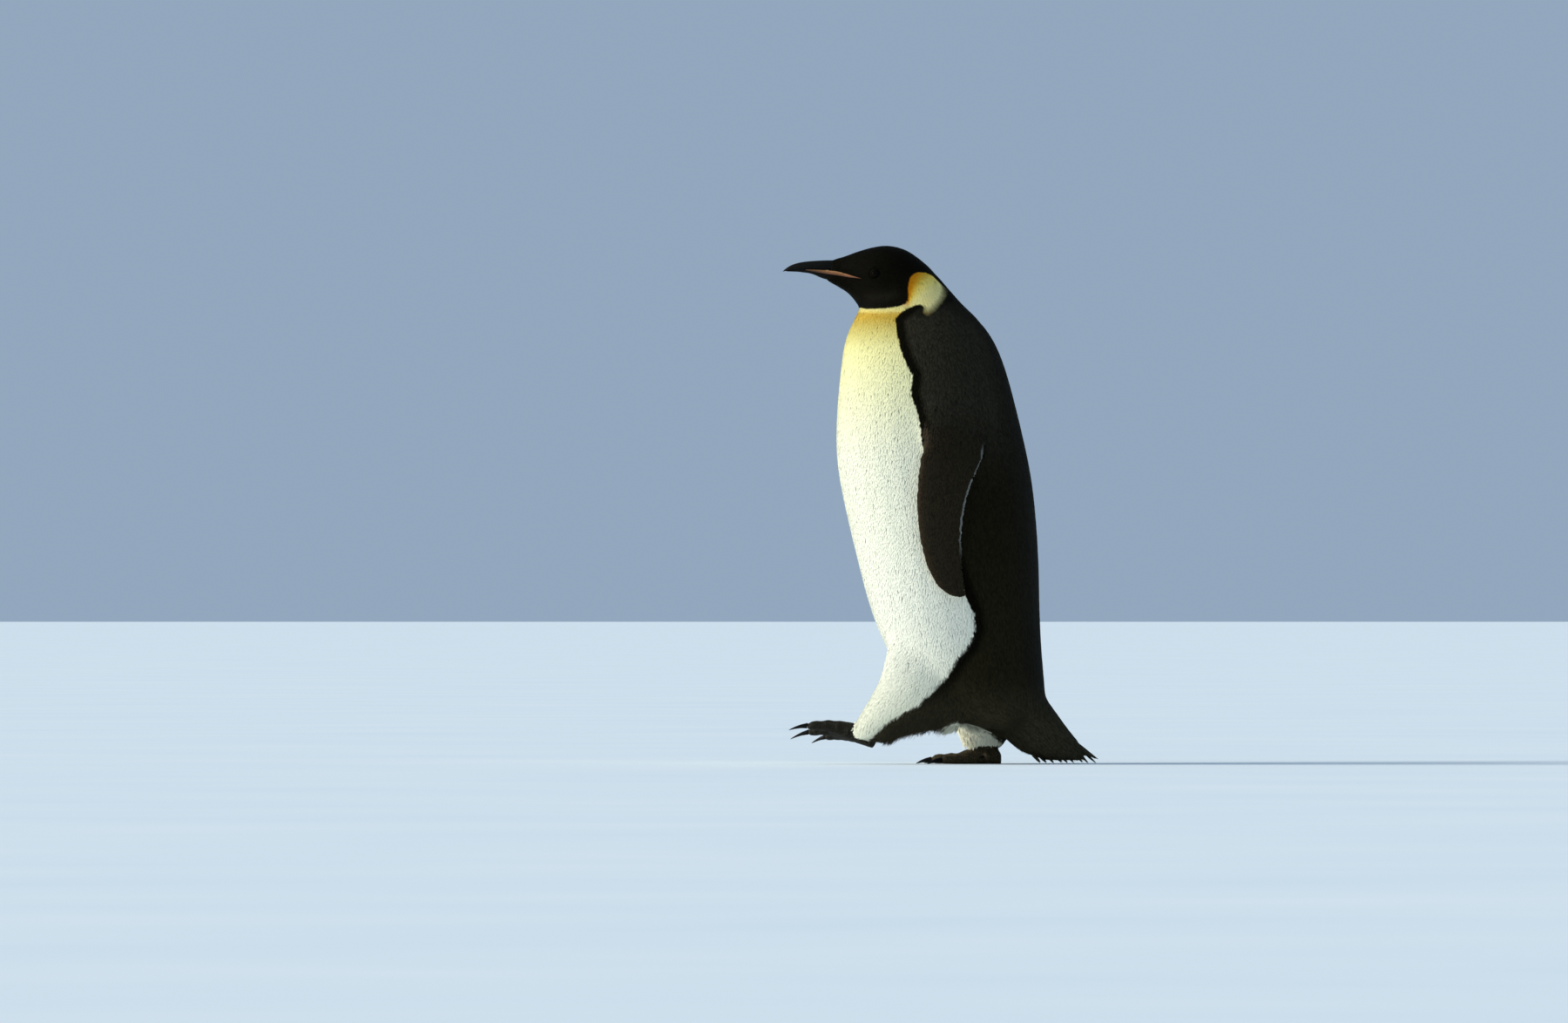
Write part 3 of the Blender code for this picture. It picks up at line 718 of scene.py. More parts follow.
def make_skin():
    """One closed skin over all the flesh, softened, and taken in by the depth of the coat."""
    obj = remeshed("skin", cad_points, cad_faces, VOXEL)
    points = vertices_of(obj.data)
    faces = triangles_of(obj.data)
    edges = edges_of(faces)
    net = Net(len(points), edges)
    _, _, hit, _ = nearest(cad_tree, points)
    kinds = cad_owner[hit]
    wing = (kinds == FLIP_L) | (kinds == FLIP_R)
    shoulder = np.where(wing, smoothstep(0.54, 0.60, points[:, 2]), 0.0)
    weight = net.soften(np.maximum(SMOOTH[kinds], shoulder), 12)
    points = net.soften(points, SMOOTH_STEPS, 0.5 * weight)
    # The body and the top of each flipper run into each other
    blend = net.soften(wing.astype(float), 50)
    seam = np.clip(5.5 * blend * (1 - blend), 0, 1) * smoothstep(0.555, 0.605, points[:, 2])
    melt = np.maximum(net.soften(shoulder, 16), net.soften(seam, 6))
    joint = (melt > 0.002) & (points[:, 2] > 0.5)
    points = part_softened(points, edges, joint, SHOULDER_STEPS, 0.5 * melt)
    # How far the skin lies in: less by the bill and the eyes, and fuller under the throat
    to_bill = gap_to(bill_tree, points)
    depth = net.soften(by_kind(INSET, points, kinds), 10)
    near_bill = smoothstep(0.0005, 0.009, to_bill)
    for eye in EYES:
        near_bill = near_bill * (0.25 + 0.75 * smoothstep(0.009, 0.018, off_point(points, eye)))
    throat = smoothstep(0.0, 0.6, -vertex_normals(points, faces)[:, 2])
    throat = throat * smoothstep(-0.125, -0.150, points[:, 0]) * (points[:, 2] > 0.80)
    fuller = (0.0022 + 0.0026 * smoothstep(-0.198, -0.220, points[:, 0])) * throat
    least = 0.0004
    depth = np.where(kinds == HEAD, least + (depth - least) * near_bill - fuller, depth)
    beside = np.flatnonzero((kinds == HEAD) & (to_bill < 0.008))
    depth[beside] += 0.0011 * smoothstep(0.006, 0.0015, gap_to(plate_tree, points[beside]))
    depth = net.soften(depth, 4)
    points = points - vertex_normals(points, faces) * (depth + SPARE)[:, None]
    points = net.soften(points, 2, 0.5 * np.minimum(weight * 2, 1))
    # The tail's skin stops short of the floor and of the tip, where its feathers carry on
    tail = net.soften((kinds == TAIL).astype(float), 6)
    x, z = points[:, 0], points[:, 2]
    points[:, 2] += tail * 0.0070 * smoothstep(0.030, 0.004, z)
    points[:, 0] -= tail * 0.012 * smoothstep(0.190, 0.236, x)
    foot = np.isin(kinds, (FOOT_L, FOOT_R))
    points[:, 2] = np.where(foot, np.maximum(points[:, 2], 0.0003), points[:, 2])
    hump = net.soften((kinds == FOOT_L).astype(float), 8) * smoothstep(0.050, 0.066, points[:, 2])
    points[:, 2] += INSTEP * hump * np.exp(-(((points[:, 0] - INSTEP_X) / INSTEP_REACH) ** 2))
    move_points(obj, points)
    obj.modifiers.new("fewer", "DECIMATE").ratio = SKIN_TRIANGLES / len(faces)
    return baked(obj)


skin = make_skin()
skin.data.name = "skin"
S_POINTS = vertices_of(skin.data)
S_FACES = triangles_of(skin.data)
S_NORMALS = vertex_normals(S_POINTS, S_FACES)
S_NET = Net(len(S_POINTS), edges_of(S_FACES))
S_TREE = tree_of(S_POINTS, S_FACES)
S_KINDS = cad_owner[nearest(cad_tree, S_POINTS)[2]]
F_KINDS = S_KINDS[S_FACES[:, 0]]
F_MIDDLES = S_POINTS[S_FACES].mean(1)
S_TO_BILL = gap_to(bill_tree, S_POINTS)
S_TO_PLATE = gap_to(plate_tree, S_POINTS)
print("skin", len(S_POINTS), "points", len(S_FACES), "triangles")


def make_lie():
    """The direction that feathers point in, at each skin vertex."""
    x, _, z = S_POINTS.T
    level = 0 * x
    bill_root = np.array([-0.225, LEAN * 0.878 + MID_Y, 0.878])
    low = smoothstep(0.20, 0.06, z)
    wing = np.stack([0.02 + 0.20 * smoothstep(0.40, 0.30, z), level, level - 1], 1)
    ways = {
        HEAD: unit(S_POINTS - bill_root),
        NECK: (0.22, 0.0, -1.0),
        TRUNK: np.stack([0.10 + 0.75 * low, level, -1.0 + 0.2 * low], 1),
        TAIL: (0.72, 0.0, -0.70),
        LEG_L: (-0.42, 0.0, -0.90),
        LEG_R: (0.05, 0.0, -1.0),
        FLIP_L: wing,
        FLIP_R: wing,
        FOOT_L: (-1.0, 0.0, 0.0),
        FOOT_R: (-1.0, 0.0, 0.0),
    }
    wanted = np.zeros_like(S_POINTS)
    for kind, way in ways.items():
        wanted = np.where((S_KINDS == kind)[:, None], np.array(way), wanted)
    # Beside the coloured strips of the bill the feathers run along them
    low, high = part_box("bill_plate_left")
    along_plate = unit(np.array([high.x - low.x, 0.0, low.z - high.z]))
    beside = smoothstep(0.014, 0.004, S_TO_PLATE)[:, None]
    wanted = unit(wanted) * (1 - beside) + along_plate * beside
    lie = tangent(wanted, S_NORMALS)
    for _ in range(40):
        lie = tangent(lie + 0.7 * (S_NET.mean(lie) - lie), S_NORMALS)
    return lie


def over_skin(table, steps):
    """A table's value at each skin vertex, softened where one part of the body meets the next."""
    return S_NET.soften(by_kind(table, S_POINTS, S_KINDS), steps)


S_LIE = make_lie()
S_DEPTH = over_skin(DEPTH, 8)
LEAST_DEPTH = 0.0006
beside_bill = LEAST_DEPTH + (S_DEPTH - LEAST_DEPTH) * smoothstep(0.0005, 0.009, S_TO_BILL)
S_DEPTH = np.where(S_KINDS == HEAD, beside_bill, S_DEPTH)
S_LENGTH = over_skin(LENGTH, 8)
S_WIDTH = over_skin(WIDTH, 8)
S_SPACING = over_skin(SPACING, 6)
for eye in EYES:
    S_SPACING *= 1 - 0.40 * smoothstep(0.009, 0.001, off_point(S_POINTS, eye) - EYE_RADIUS)


def flipper_edges(points):
    """Distance in from the trailing and from the leading edge of the flipper at each point's height."""
    trail = np.full(len(points), 1.0)
    lead = np.full(len(points), 1.0)
    for kind, sign in ((FLIP_L, -1), (FLIP_R, 1)):
        mine = S_POINTS[S_KINDS == kind]
        steps = np.linspace(mine[:, 2].min(), mine[:, 2].max(), 90)
        slot = np.clip(np.digitize(mine[:, 2], steps) - 1, 0, 88)
        filled = np.unique(slot)
        most = [mine[slot == i, 0].max() for i in filled]
        least = [mine[slot == i, 0].min() for i in filled]
        middles = ((steps[1:] + steps[:-1]) / 2)[filled]
        here = aside(points) * sign > 0
        trail = np.where(here, np.interp(points[:, 2], middles, most) - points[:, 0], trail)
        lead = np.where(here, points[:, 0] - np.interp(points[:, 2], middles, least), lead)
    return trail, lead


def ragged_noise(points, seed, scale):
    """Smooth noise in about -1..1 from a few summed waves."""
    rng = np.random.default_rng(seed)
    total = np.zeros(len(points))
    for _ in range(10):
        direction = unit(rng.normal(size=3))
        total += np.sin(points @ direction * rng.uniform(0.6, 2.2) * scale + rng.uniform(0, 6.28))
    return total / 3.2


def raggedness(points, rng=None):
    """How much an edge of the markings strays at each point, with a random share for single feathers."""
    jag = ragged_noise(points, 5, 500.0)
    if rng is None:
        return jag
    return np.clip(jag * 0.6 + rng.normal(0, 0.5, len(points)), -2, 2)


def markings_at(points, normals, kinds, jag):
    return markings(points, normals, kinds, flipper_edges(points), jag)


S_COLOUR = markings_at(S_POINTS, S_NORMALS, S_KINDS, raggedness(S_POINTS))


# ---------------------------------------------------------------- materials

# Distance between the barbs of a feather
BARB_GAP = 0.0007


def coat_material(name, speckle, specular, rough):
    """Feathers: their own colour, darker at the root as painted shade under the feathers over it, paler
    tips, random shade and fine barbs.
    """
    n = Nodes(name)
    patchy = n.noise(60.0, 4, 0.6)
    value = n.range(n.attribute("shade"), -1, 1, 1 - speckle, 1 + speckle)
    # Painted shade: each feather is darker towards its root, where the feathers over it cover it
    value = n.math("MULTIPLY", value, n.range(n.attribute("vane"), 0.2, 1.0, 0.82, 1.06))
    value = n.math("MULTIPLY", value, n.vary(patchy, 0.985, 1.015))
    barb = n.math("SINE", n.math("MULTIPLY", n.attribute("barb"), 2 * math.pi / BARB_GAP))
    n.bump(barb, 0.00006, 0.5)
    colour = n.scale(n.attribute("plume", "Color"), value)
    return n.surface(colour, n.vary(patchy, rough - 0.05, rough + 0.05), specular)


def skin_material():
    n = Nodes("skin")
    fine = n.noise(900.0, 3)
    n.bump(fine, 0.0003, 0.6)
    colour = n.scale(n.attribute("plume", "Color"), n.vary(fine, 0.75, 1.0))
    return n.surface(colour, 0.75, 0.05)


def horn_material(name, light, dark, rough):
    """Black horn with fine lengthwise streaks and a worn tip."""
    n = Nodes(name)
    streak = n.noise(160.0, 4, 0.6, stretch=(0.12, 1.0, 1.0))
    mottled = n.noise(220.0, 3)
    worn = n.math("MULTIPLY", n.attribute("tip"), n.vary(mottled, 0.3, 0.9))
    base = n.ramp(streak, (0.35, dark), (0.75, light))
    n.bump(streak, 0.00025, 0.5)
    colour = n.mix(worn, base, tuple(c * 1.2 + 0.001 for c in light))
    return n.surface(colour, n.vary(mottled, rough - 0.06, rough + 0.10), 0.06)


def plate_material():
    """Horn of the strip on the lower bill: tan above, pinkish brown below, dark at both ends."""
    n = Nodes("plate_coral")
    streak = n.noise(300.0, 4, 0.6, stretch=(0.15, 1.0, 1.0))
    lowest, lower = (0.0, (0.045, 0.018, 0.010)), (0.25, (0.17, 0.070, 0.030))
    upper, highest = (0.60, (0.31, 0.135, 0.048)), (0.9, (0.36, 0.18, 0.066))
    across = n.ramp(n.attribute("high"), lowest, lower, upper, highest)
    rear, inner = (0.0, (0.66, 0.46, 0.32)), (0.25, (0.84, 0.80, 0.72))
    outer, front = (0.75, (0.88, 0.88, 0.90)), (1.0, (0.40, 0.40, 0.42))
    along = n.ramp(n.attribute("tip"), rear, inner, outer, front)
    n.bump(streak, 0.0002, 0.4)
    colour = n.scale(n.mix(1.0, across, along, "MULTIPLY"), n.vary(streak, 0.78, 1.05))
    return n.surface(colour, n.vary(streak, 0.34, 0.46), 0.25)


def eye_material():
    """Dark brown iris round a black pupil, under a clear wet surface."""
    n = Nodes("eye_wet")
    black, white = (0, 0, 0), (1, 1, 1)
    ring = n.attribute("gaze")
    iris = n.mix(n.noise(1500.0, 3), (0.004, 0.0018, 0.0010), (0.011, 0.0045, 0.0022))
    inner = n.ramp(ring, (0.0, black), (0.20, black), (0.23, white), (1.0, white))
    outer = n.ramp(ring, (0.0, white), (0.46, white), (0.54, black), (1.0, black))
    base = n.mix(inner, (0.002, 0.002, 0.002), iris)
    return n.surface(n.mix(outer, (0.006, 0.004, 0.003), base), 0.08, 0.035)


def foot_material():
    """Black leathery scales, each a little lighter or darker at random, with a fine grain."""
    n = Nodes("foot_scale")
    grain = n.noise(500.0, 4, 0.6)
    shade = n.range(n.attribute("shade"), -1, 1, 0.6, 1.6)
    value = n.math("MULTIPLY", shade, n.vary(grain, 0.8, 1.2))
    n.bump(grain, 0.0002, 0.5)
    colour = n.scale(n.attribute("plume", "Color"), value)
    return n.surface(colour, n.vary(grain, 0.5, 0.7), 0.3)


# ---------------------------------------------------------------- coat


# Places tried for each root that there is room for
TRIES = 4.0


def scatter(allowed, spacing_scale, seed):
    """Evenly spread roots over the allowed part of the skin: face and barycentric weights of each."""
    rng = np.random.default_rng(seed)
    a, b, c = (S_POINTS[S_FACES[:, k]] for k in range(3))
    area = np.linalg.norm(np.cross(b - a, c - a), axis=1) / 2
    spacing = S_SPACING[S_FACES].mean(1) * spacing_scale
    weight = np.where(allowed, area / spacing**2, 0.0)
    count = int(weight.sum() * TRIES)
    face = np.sort(rng.choice(len(S_FACES), count, p=weight / weight.sum()))
    u, v = rng.random(count), rng.random(count)
    flip = u + v > 1
    u[flip], v[flip] = 1 - u[flip], 1 - v[flip]
    bary = np.stack([1 - u - v, u, v], 1)
    places = (S_POINTS[S_FACES[face]] * bary[..., None]).sum(1)
    order = rng.permutation(count)
    face, bary, places = face[order], bary[order], places[order]
    radius = spacing[face]
    tree = KDTree(count)
    for i, place in enumerate(places.tolist()):
        tree.insert(place, i)
    tree.balance()
    blocked = bytearray(count)
    kept = []
    for i, (place, reach) in enumerate(zip(places.tolist(), radius.tolist())):
        if blocked[i]:
            continue
        kept.append(i)
        for _, j, _ in tree.find_range(place, reach):
            blocked[j] = 1
    kept = np.array(kept)
    return face[kept], bary[kept]


def sampled(values, face, bary):
    """A value of the skin's vertices at places inside its faces."""
    corner = values[S_FACES[face]]
    if values.ndim == 1:
        return (corner * bary).sum(1)
    return (corner * bary[..., None]).sum(1)


# Faces of one feather: upper side, then underside
VANE_UPPER = [(0, 1, 2), (0, 2, 3), (1, 5, 2), (1, 4, 5), (2, 6, 3), (2, 5, 6), (4, 7, 5), (5, 7, 6)]
VANE_UNDER = [(0, 3, 1), (1, 6, 4), (1, 3, 6), (4, 6, 7)]
VANE_FACES = np.array(VANE_UPPER + VANE_UNDER)


def planted(face, bary):
    """Places on the skin, with its normals there and the way the coat lies."""
    normals = unit(sampled(S_NORMALS, face, bary))
    return sampled(S_POINTS, face, bary), normals, tangent(sampled(S_LIE, face, bary), normals)


def turned(lie, across, yaw):
    return lie * np.cos(yaw)[:, None] + across * np.sin(yaw)[:, None]


# Rows of a feather: share of its length, height as a share of the coat's depth, share of its width
VANE_ROWS = ((0.42, 0.76, 1.0), (0.80, 0.96, 0.74), (1.0, 1.0, 0.0))
TIP_ROW = 2
RIDGE = 0.022


def set_row(points, row, middle, ridge, half):
    """Sets the left, ridge and right point of a row of each feather. The last row is its tip."""
    if row == TIP_ROW:
        points[:, 7] = middle
    else:
        first = 1 + 3 * row
        points[:, first] = middle - half
        points[:, first + 1] = ridge
        points[:, first + 2] = middle + half


def vanes(roots, normals, lie, length, width, depth, project=None):
    """Points of closed leaf-shaped feathers, 8 each: root, two rows of left, ridge and right, tip. Those to
    project bend with the skin."""
    points = np.empty((len(roots), 8, 3))
    points[:, 0] = roots - normals * 0.0003
    previous = normals
    for row, (along, high, wide) in enumerate(VANE_ROWS):
        place = roots + lie * (along * length)[:, None]
        normal = previous
        if project is not None:
            found, facing_up, _, gap = nearest(S_TREE, place)
            good = project & ((facing_up * previous).sum(1) > 0.3) & (gap < 0.5 * length)
            place = np.where(good[:, None], found, place)
            normal = np.where(good[:, None], facing_up, normal)
        normal = unit(0.6 * normal + 0.4 * previous)
        across = unit(np.cross(normal, lie))
        height = (depth * high)[:, None]
        ridge = place + normal * (height + RIDGE * width[:, None])
        set_row(points, row, place + normal * height, ridge, across * (width * wide / 2)[:, None])
        previous = normal
    return points


# Where the 8 points of a feather are, across it and along it
ACROSS = np.array([0, -1, 0, 1, -1, 0, 1, 0.0])
ALONG = np.array([0, 0.42, 0.42, 0.42, 0.8, 0.8, 0.8, 1.0])
# Size of a feather's patch on the bake map
PATCH = 0.003
# How far along a feather its colour is taken, as a share
SPOT_REACH = 0.6
# The tail's feathers end this far above the floor, and none starts past its skin
TAIL_CLEAR = 0.0095
TAIL_LAST_ROOT = 0.206
# Dark feathers differ by this much from one to the next, and from root to tip
DARK_SPREAD = 0.24
DARK_TIP = 0.30


def soft_normals(points, normals, roundness=0.22):
    """Normals that follow the skin, a little rounded across each feather, so the coat shades as one."""
    across = unit(points[:, 3] - points[:, 1])
    tips = unit(np.cross(across, points[:, 7] - points[:, 2]))
    tips = tips * np.where((tips * normals).sum(1, keepdims=True) < 0, -1, 1)
    base = unit(normals + 0.35 * tips)
    return unit(base[:, None] + roundness * ACROSS[None, :, None] * across[:, None])


def feather_object(
    name, points, colour, shade, chart, length, width, material, slot,
    faces=VANE_FACES, across=ACROSS, along=ALONG, shading=None,
):
    """Joins feathers into one piece, with their colour, shade, barbs and bake patches."""
    count, each = points.shape[:2]
    tris = (faces[None] + (np.arange(count) * each)[:, None, None]).reshape(-1, 3)
    obj = mesh_of(name, points.reshape(-1, 3), tris)
    if shading is not None:
        obj.data.shade_smooth()
        obj.data.normals_split_custom_set_from_vertices(shading.reshape(-1, 3).tolist())
    put(obj, "plume", colour.reshape(-1, 3) if colour.ndim == 3 else np.repeat(colour, each, 0))
    put(obj, "shade", np.repeat(shade, each))
    put(obj, "vane", np.tile(along, count))
    barb = length[:, None] * along[None] - 0.9 * width[:, None] * np.abs(across)[None] / 2
    put(obj, "barb", barb.ravel())
    low, high = chart.min(0), chart.max(0)
    chart = 0.01 + 0.98 * (chart - low) / (high - low)
    spread = np.stack([across, 2 * along - 1], 1) * PATCH / 2
    uv = np.clip((chart[:, None] + spread[None]).reshape(-1, 2), 0, 1)
    layer = obj.data.uv_layers.new(name="OFBake")
    layer.data.foreach_set("uv", uv[tris.ravel()].astype(np.float32).ravel())
    dress(obj, material)
    print(name, count, "tufts", len(tris), "triangles")


def round_chart(points, x, y):
    """Unwrap of a rounded body part: angle round an upright axis, and height."""
    return np.stack([np.arctan2(points[:, 1] - y, -(points[:, 0] - x)), points[:, 2]], 1)


# Height and x of the body's middle
AXIS = (
    (0.05, 0.03), (0.12, 0.02), (0.25, -0.01), (0.45, -0.04),
    (0.60, -0.055), (0.72, -0.08), (0.80, -0.10), (0.92, -0.125),
)


def plumage(points, roots, normals, kinds, jag):
    """Colour of every point of every feather. One that crosses an edge of the markings takes both."""
    each = points.shape[1]
    count = len(roots)
    spots = (roots[:, None] + SPOT_REACH * (points - roots[:, None])).reshape(-1, 3)
    across = 0.5 * np.tile(np.linspace(-1, 1, each), count) * np.repeat(np.sin(jag * 37), each)
    jags = np.repeat(jag, each) + across
    normals, kinds = np.repeat(normals, each, 0), np.repeat(kinds, each)
    return markings_at(spots, normals, kinds, jags).reshape(count, each, 3)


def coat_roots():
    """Where feathers grow: everywhere but on the feet, the bare heel, the eyes and the bill."""
    allowed = ~np.isin(F_KINDS, (FOOT_L, FOOT_R)) & ~bare_heel(F_MIDDLES, F_KINDS, -0.005)
    for eye in EYES:
        allowed &= off_point(F_MIDDLES, eye) > EYE_RADIUS * 1.02
    allowed &= S_TO_BILL[S_FACES].mean(1) > 0.0014
    allowed &= S_TO_PLATE[S_FACES].mean(1) > 0.0016
    return scatter(allowed, 1.0, 11)


def fit_round_face(roots, lie, face, bary, kinds, length, width):
    """Shortens the feathers near the eyes and the bill, so that none covers a coloured strip."""
    for eye in EYES:
        near = 0.50 + 0.50 * smoothstep(EYE_RADIUS, EYE_RADIUS + 0.009, off_point(roots, eye))
        length, width = length * near, width * near
    near = 0.5 + 0.5 * smoothstep(0.0, 0.012, sampled(S_TO_BILL, face, bary))
    length, width = length * near, width * near
    beside = np.flatnonzero((kinds == HEAD) & (sampled(S_TO_PLATE, face, bary) < 0.012))
    for _ in range(5):
        over = np.zeros(len(beside), bool)
        for along, half in ((0.42, 0.5), (0.8, 0.37), (1.0, 0.0)):
            spots = roots[beside] + lie[beside] * (along * length[beside, None])
            over |= gap_to(plate_tree, spots) < 0.0009 + half * width[beside]
        length[beside[over]] *= 0.72
        width[beside[over]] *= 0.82
    return length, width


def make_coat():
    """The vanes that cover the whole bird, in pieces by part of the body."""
    face, bary = coat_roots()
    count = len(face)
    rng = np.random.default_rng(23)
    roots, normals, lie = planted(face, bary)
    kinds = F_KINDS[face]
    lie = turned(lie, np.cross(normals, lie), rng.normal(0, 0.07, count))
    length = sampled(S_LENGTH, face, bary) * rng.uniform(0.88, 1.12, count)
    width = sampled(S_WIDTH, face, bary) * rng.uniform(0.9, 1.1, count)
    depth = sampled(S_DEPTH, face, bary) * rng.uniform(0.985, 1.03, count)
    shade = rng.uniform(-1, 1, count)
    length, width = fit_round_face(roots, lie, face, bary, kinds, length, width)
    jag = raggedness(roots, rng)
    # Those of a flipper shorten towards its tip, and those of the tail end above its quills
    wings = np.isin(kinds, (FLIP_L, FLIP_R))
    tip = min(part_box(node)[0].z for node in ("flipper_left", "flipper_right"))
    room = np.clip((roots[:, 2] - tip) / 0.012, 0.25, 1.0)
    length = np.where(wings, length * room, length)
    tail = kinds == TAIL
    headroom = np.maximum(roots[:, 2] - TAIL_CLEAR, 0.002) / np.maximum(-lie[:, 2], 0.05)
    length = np.where(tail, np.minimum(length, headroom), length)
    past_end = tail & (roots[:, 0] > 0.190)
    points = vanes(roots, normals, lie, length, width, depth, ~wings & ~past_end)
    # Those that would stand off a sharp edge are left out
    thin = np.flatnonzero(wings | tail)
    stray = np.zeros(count, bool)
    limit = np.where(past_end[thin], 0.020, depth[thin] + 0.0012)
    for corner in (4, 6, 7):
        stray[thin] |= gap_to(S_TREE, points[thin, corner]) > limit
    keep = ~stray & ~(tail & (roots[:, 0] > TAIL_LAST_ROOT))
    columns = (points, roots, normals, kinds, jag, shade, length, width)
    points, roots, normals, kinds, jag, shade, length, width = (rows[keep] for rows in columns)
    shading = soft_normals(points, normals)
    colour = plumage(points, roots, normals, kinds, jag)
    darkness = smoothstep(0.20, 0.05, colour.max(axis=2))
    vary = DARK_SPREAD * shade[:, None] + DARK_TIP * (ALONG[None] - 0.6)
    colour = colour * (1 + darkness * vary)[..., None]

    side = aside(roots)
    outer = normals[:, 1] * np.sign(side) > 0
    black = coat_material("coat_head", 0.14, 0.025, 0.58)
    body = coat_material("coat_body", 0.05, 0.02, 0.65)
    wing = coat_material("coat_flipper", 0.12, 0.06, 0.55)
    tube = round_chart(roots, np.interp(roots[:, 2], *zip(*AXIS)), LEAN * roots[:, 2] + MID_Y)
    pieces = [("head", kinds == HEAD, black), ("neck", kinds == NECK, body)]
    for level, at_level in (("upper", roots[:, 2] > 0.40), ("lower", roots[:, 2] <= 0.40)):
        for hand, at_hand in (("left", side < 0), ("right", side >= 0)):
            pieces.append(("_".join(("trunk", level, hand)), (kinds == TRUNK) & at_level & at_hand, body))
    pieces += [("leg_left", kinds == LEG_L, body), ("leg_right", kinds == LEG_R, body)]
    pieces += [("flipper_left", kinds == FLIP_L, wing), ("flipper_right", kinds == FLIP_R, wing)]
    pieces.append(("tail", kinds == TAIL, body))
    for name, mine, material in pieces:
        slot = "plumage_dark"
        spots = roots[mine]
        if "flipper" in name:
            # The inner face lies beside the outer one
            across = spots[:, 0] - np.interp(spots[:, 2], [0.29, 0.66], [0.02, -0.01])
            chart = np.stack([np.where(outer[mine], across, 0.16 - across), spots[:, 2]], 1)
        elif "leg" in name or "tail" in name:
            middle = (spots.min(0) + spots.max(0)) / 2
            chart = round_chart(spots, middle[0], middle[1])
        else:
            slot = "plumage_black"
            chart = tube[mine]
        columns = (points[mine], colour[mine], shade[mine], chart, length[mine], width[mine])
        feather_object("coat_" + name, *columns, material, slot, shading=shading[mine])


FLOOR_CLEAR = 0.0006
# Rows of a blade: share of its length, share of its width
BLADE_ROWS = ((0.40, 1.0), (0.75, 0.68), (1.0, 0.0))


def blades(roots, normals, lie, length, width, lift, curve, thick=0.0005):
    """Free-standing pointed feathers: like the vanes, but they follow their own curve off the skin."""
    points = np.empty((len(roots), 8, 3))
    points[:, 0] = roots - normals * 0.0006
    across = unit(np.cross(normals, lie))
    for row, (along, wide) in enumerate(BLADE_ROWS):
        rise = (lift * along + curve * along * along) * length
        middle = roots + lie * (along * length)[:, None] + normals * rise[:, None]
        set_row(points, row, middle, middle + normals * thick, across * (width * wide / 2)[:, None])
    points[..., 2] = np.maximum(points[..., 2], FLOOR_CLEAR)
    points[:, [2, 5], 2] += 0.0003 * (points[:, [2, 5], 2] < 0.001)
    return points


def box_chart(points):
    """Unwrap of a small piece that is mostly seen from its two sides."""
    side = aside(points)
    x = points[:, 0]
    spread = np.ptp(x) + 0.01
    across = np.where(side < 0, x, 2 * x.max() + spread - x)
    return np.stack([across, points[:, 2] + 0.3 * side], 1)


def grown(name, allowed, spacing, seed, length, width, lift, curve, turn, down=0.0, pick=None, flat=0.8):
    """Scatters blades over part of the skin. Lengths and widths are ranges in millimetres. turn spreads
    their directions, down pulls the tips towards the floor, and flat lays them along the skin."""
    face, bary = scatter(allowed, spacing, seed)
    rng = np.random.default_rng(seed + 1)
    count = len(face)
    roots = sampled(S_POINTS, face, bary)
    normals = unit(sampled(S_NORMALS, face, bary))
    lie = sampled(S_LIE, face, bary) + np.array([0, 0, -1.0]) * down
    lie = unit(lie - flat * (lie * normals).sum(1, keepdims=True) * normals)
    lie = turned(lie, unit(np.cross(normals, lie)), rng.normal(0, turn, count))
    size = rng.uniform(*length, count) / 1000
    wide = rng.uniform(*width, count) / 1000
    colour = markings_at(roots, normals, F_KINDS[face], raggedness(roots, rng))
    rise, bend = rng.uniform(*lift, count), rng.uniform(*curve, count)
    points = blades(roots, normals, lie, size, wide, rise, bend)
    keep = np.ones(count, bool) if pick is None else pick(colour)
    shading = soft_normals(points, normals)[keep]
    shade = rng.uniform(-1, 1, count)[keep]
    columns = (points[keep], colour[keep], shade, box_chart(roots[keep]), size[keep], wide[keep])
    feather_object(name, *columns, FRINGE, "plumage_dark", shading=shading)


def is_dark(colour):
    return colour[:, 0] < 0.05


def is_pale(colour):
    return colour[:, 0] > 0.5


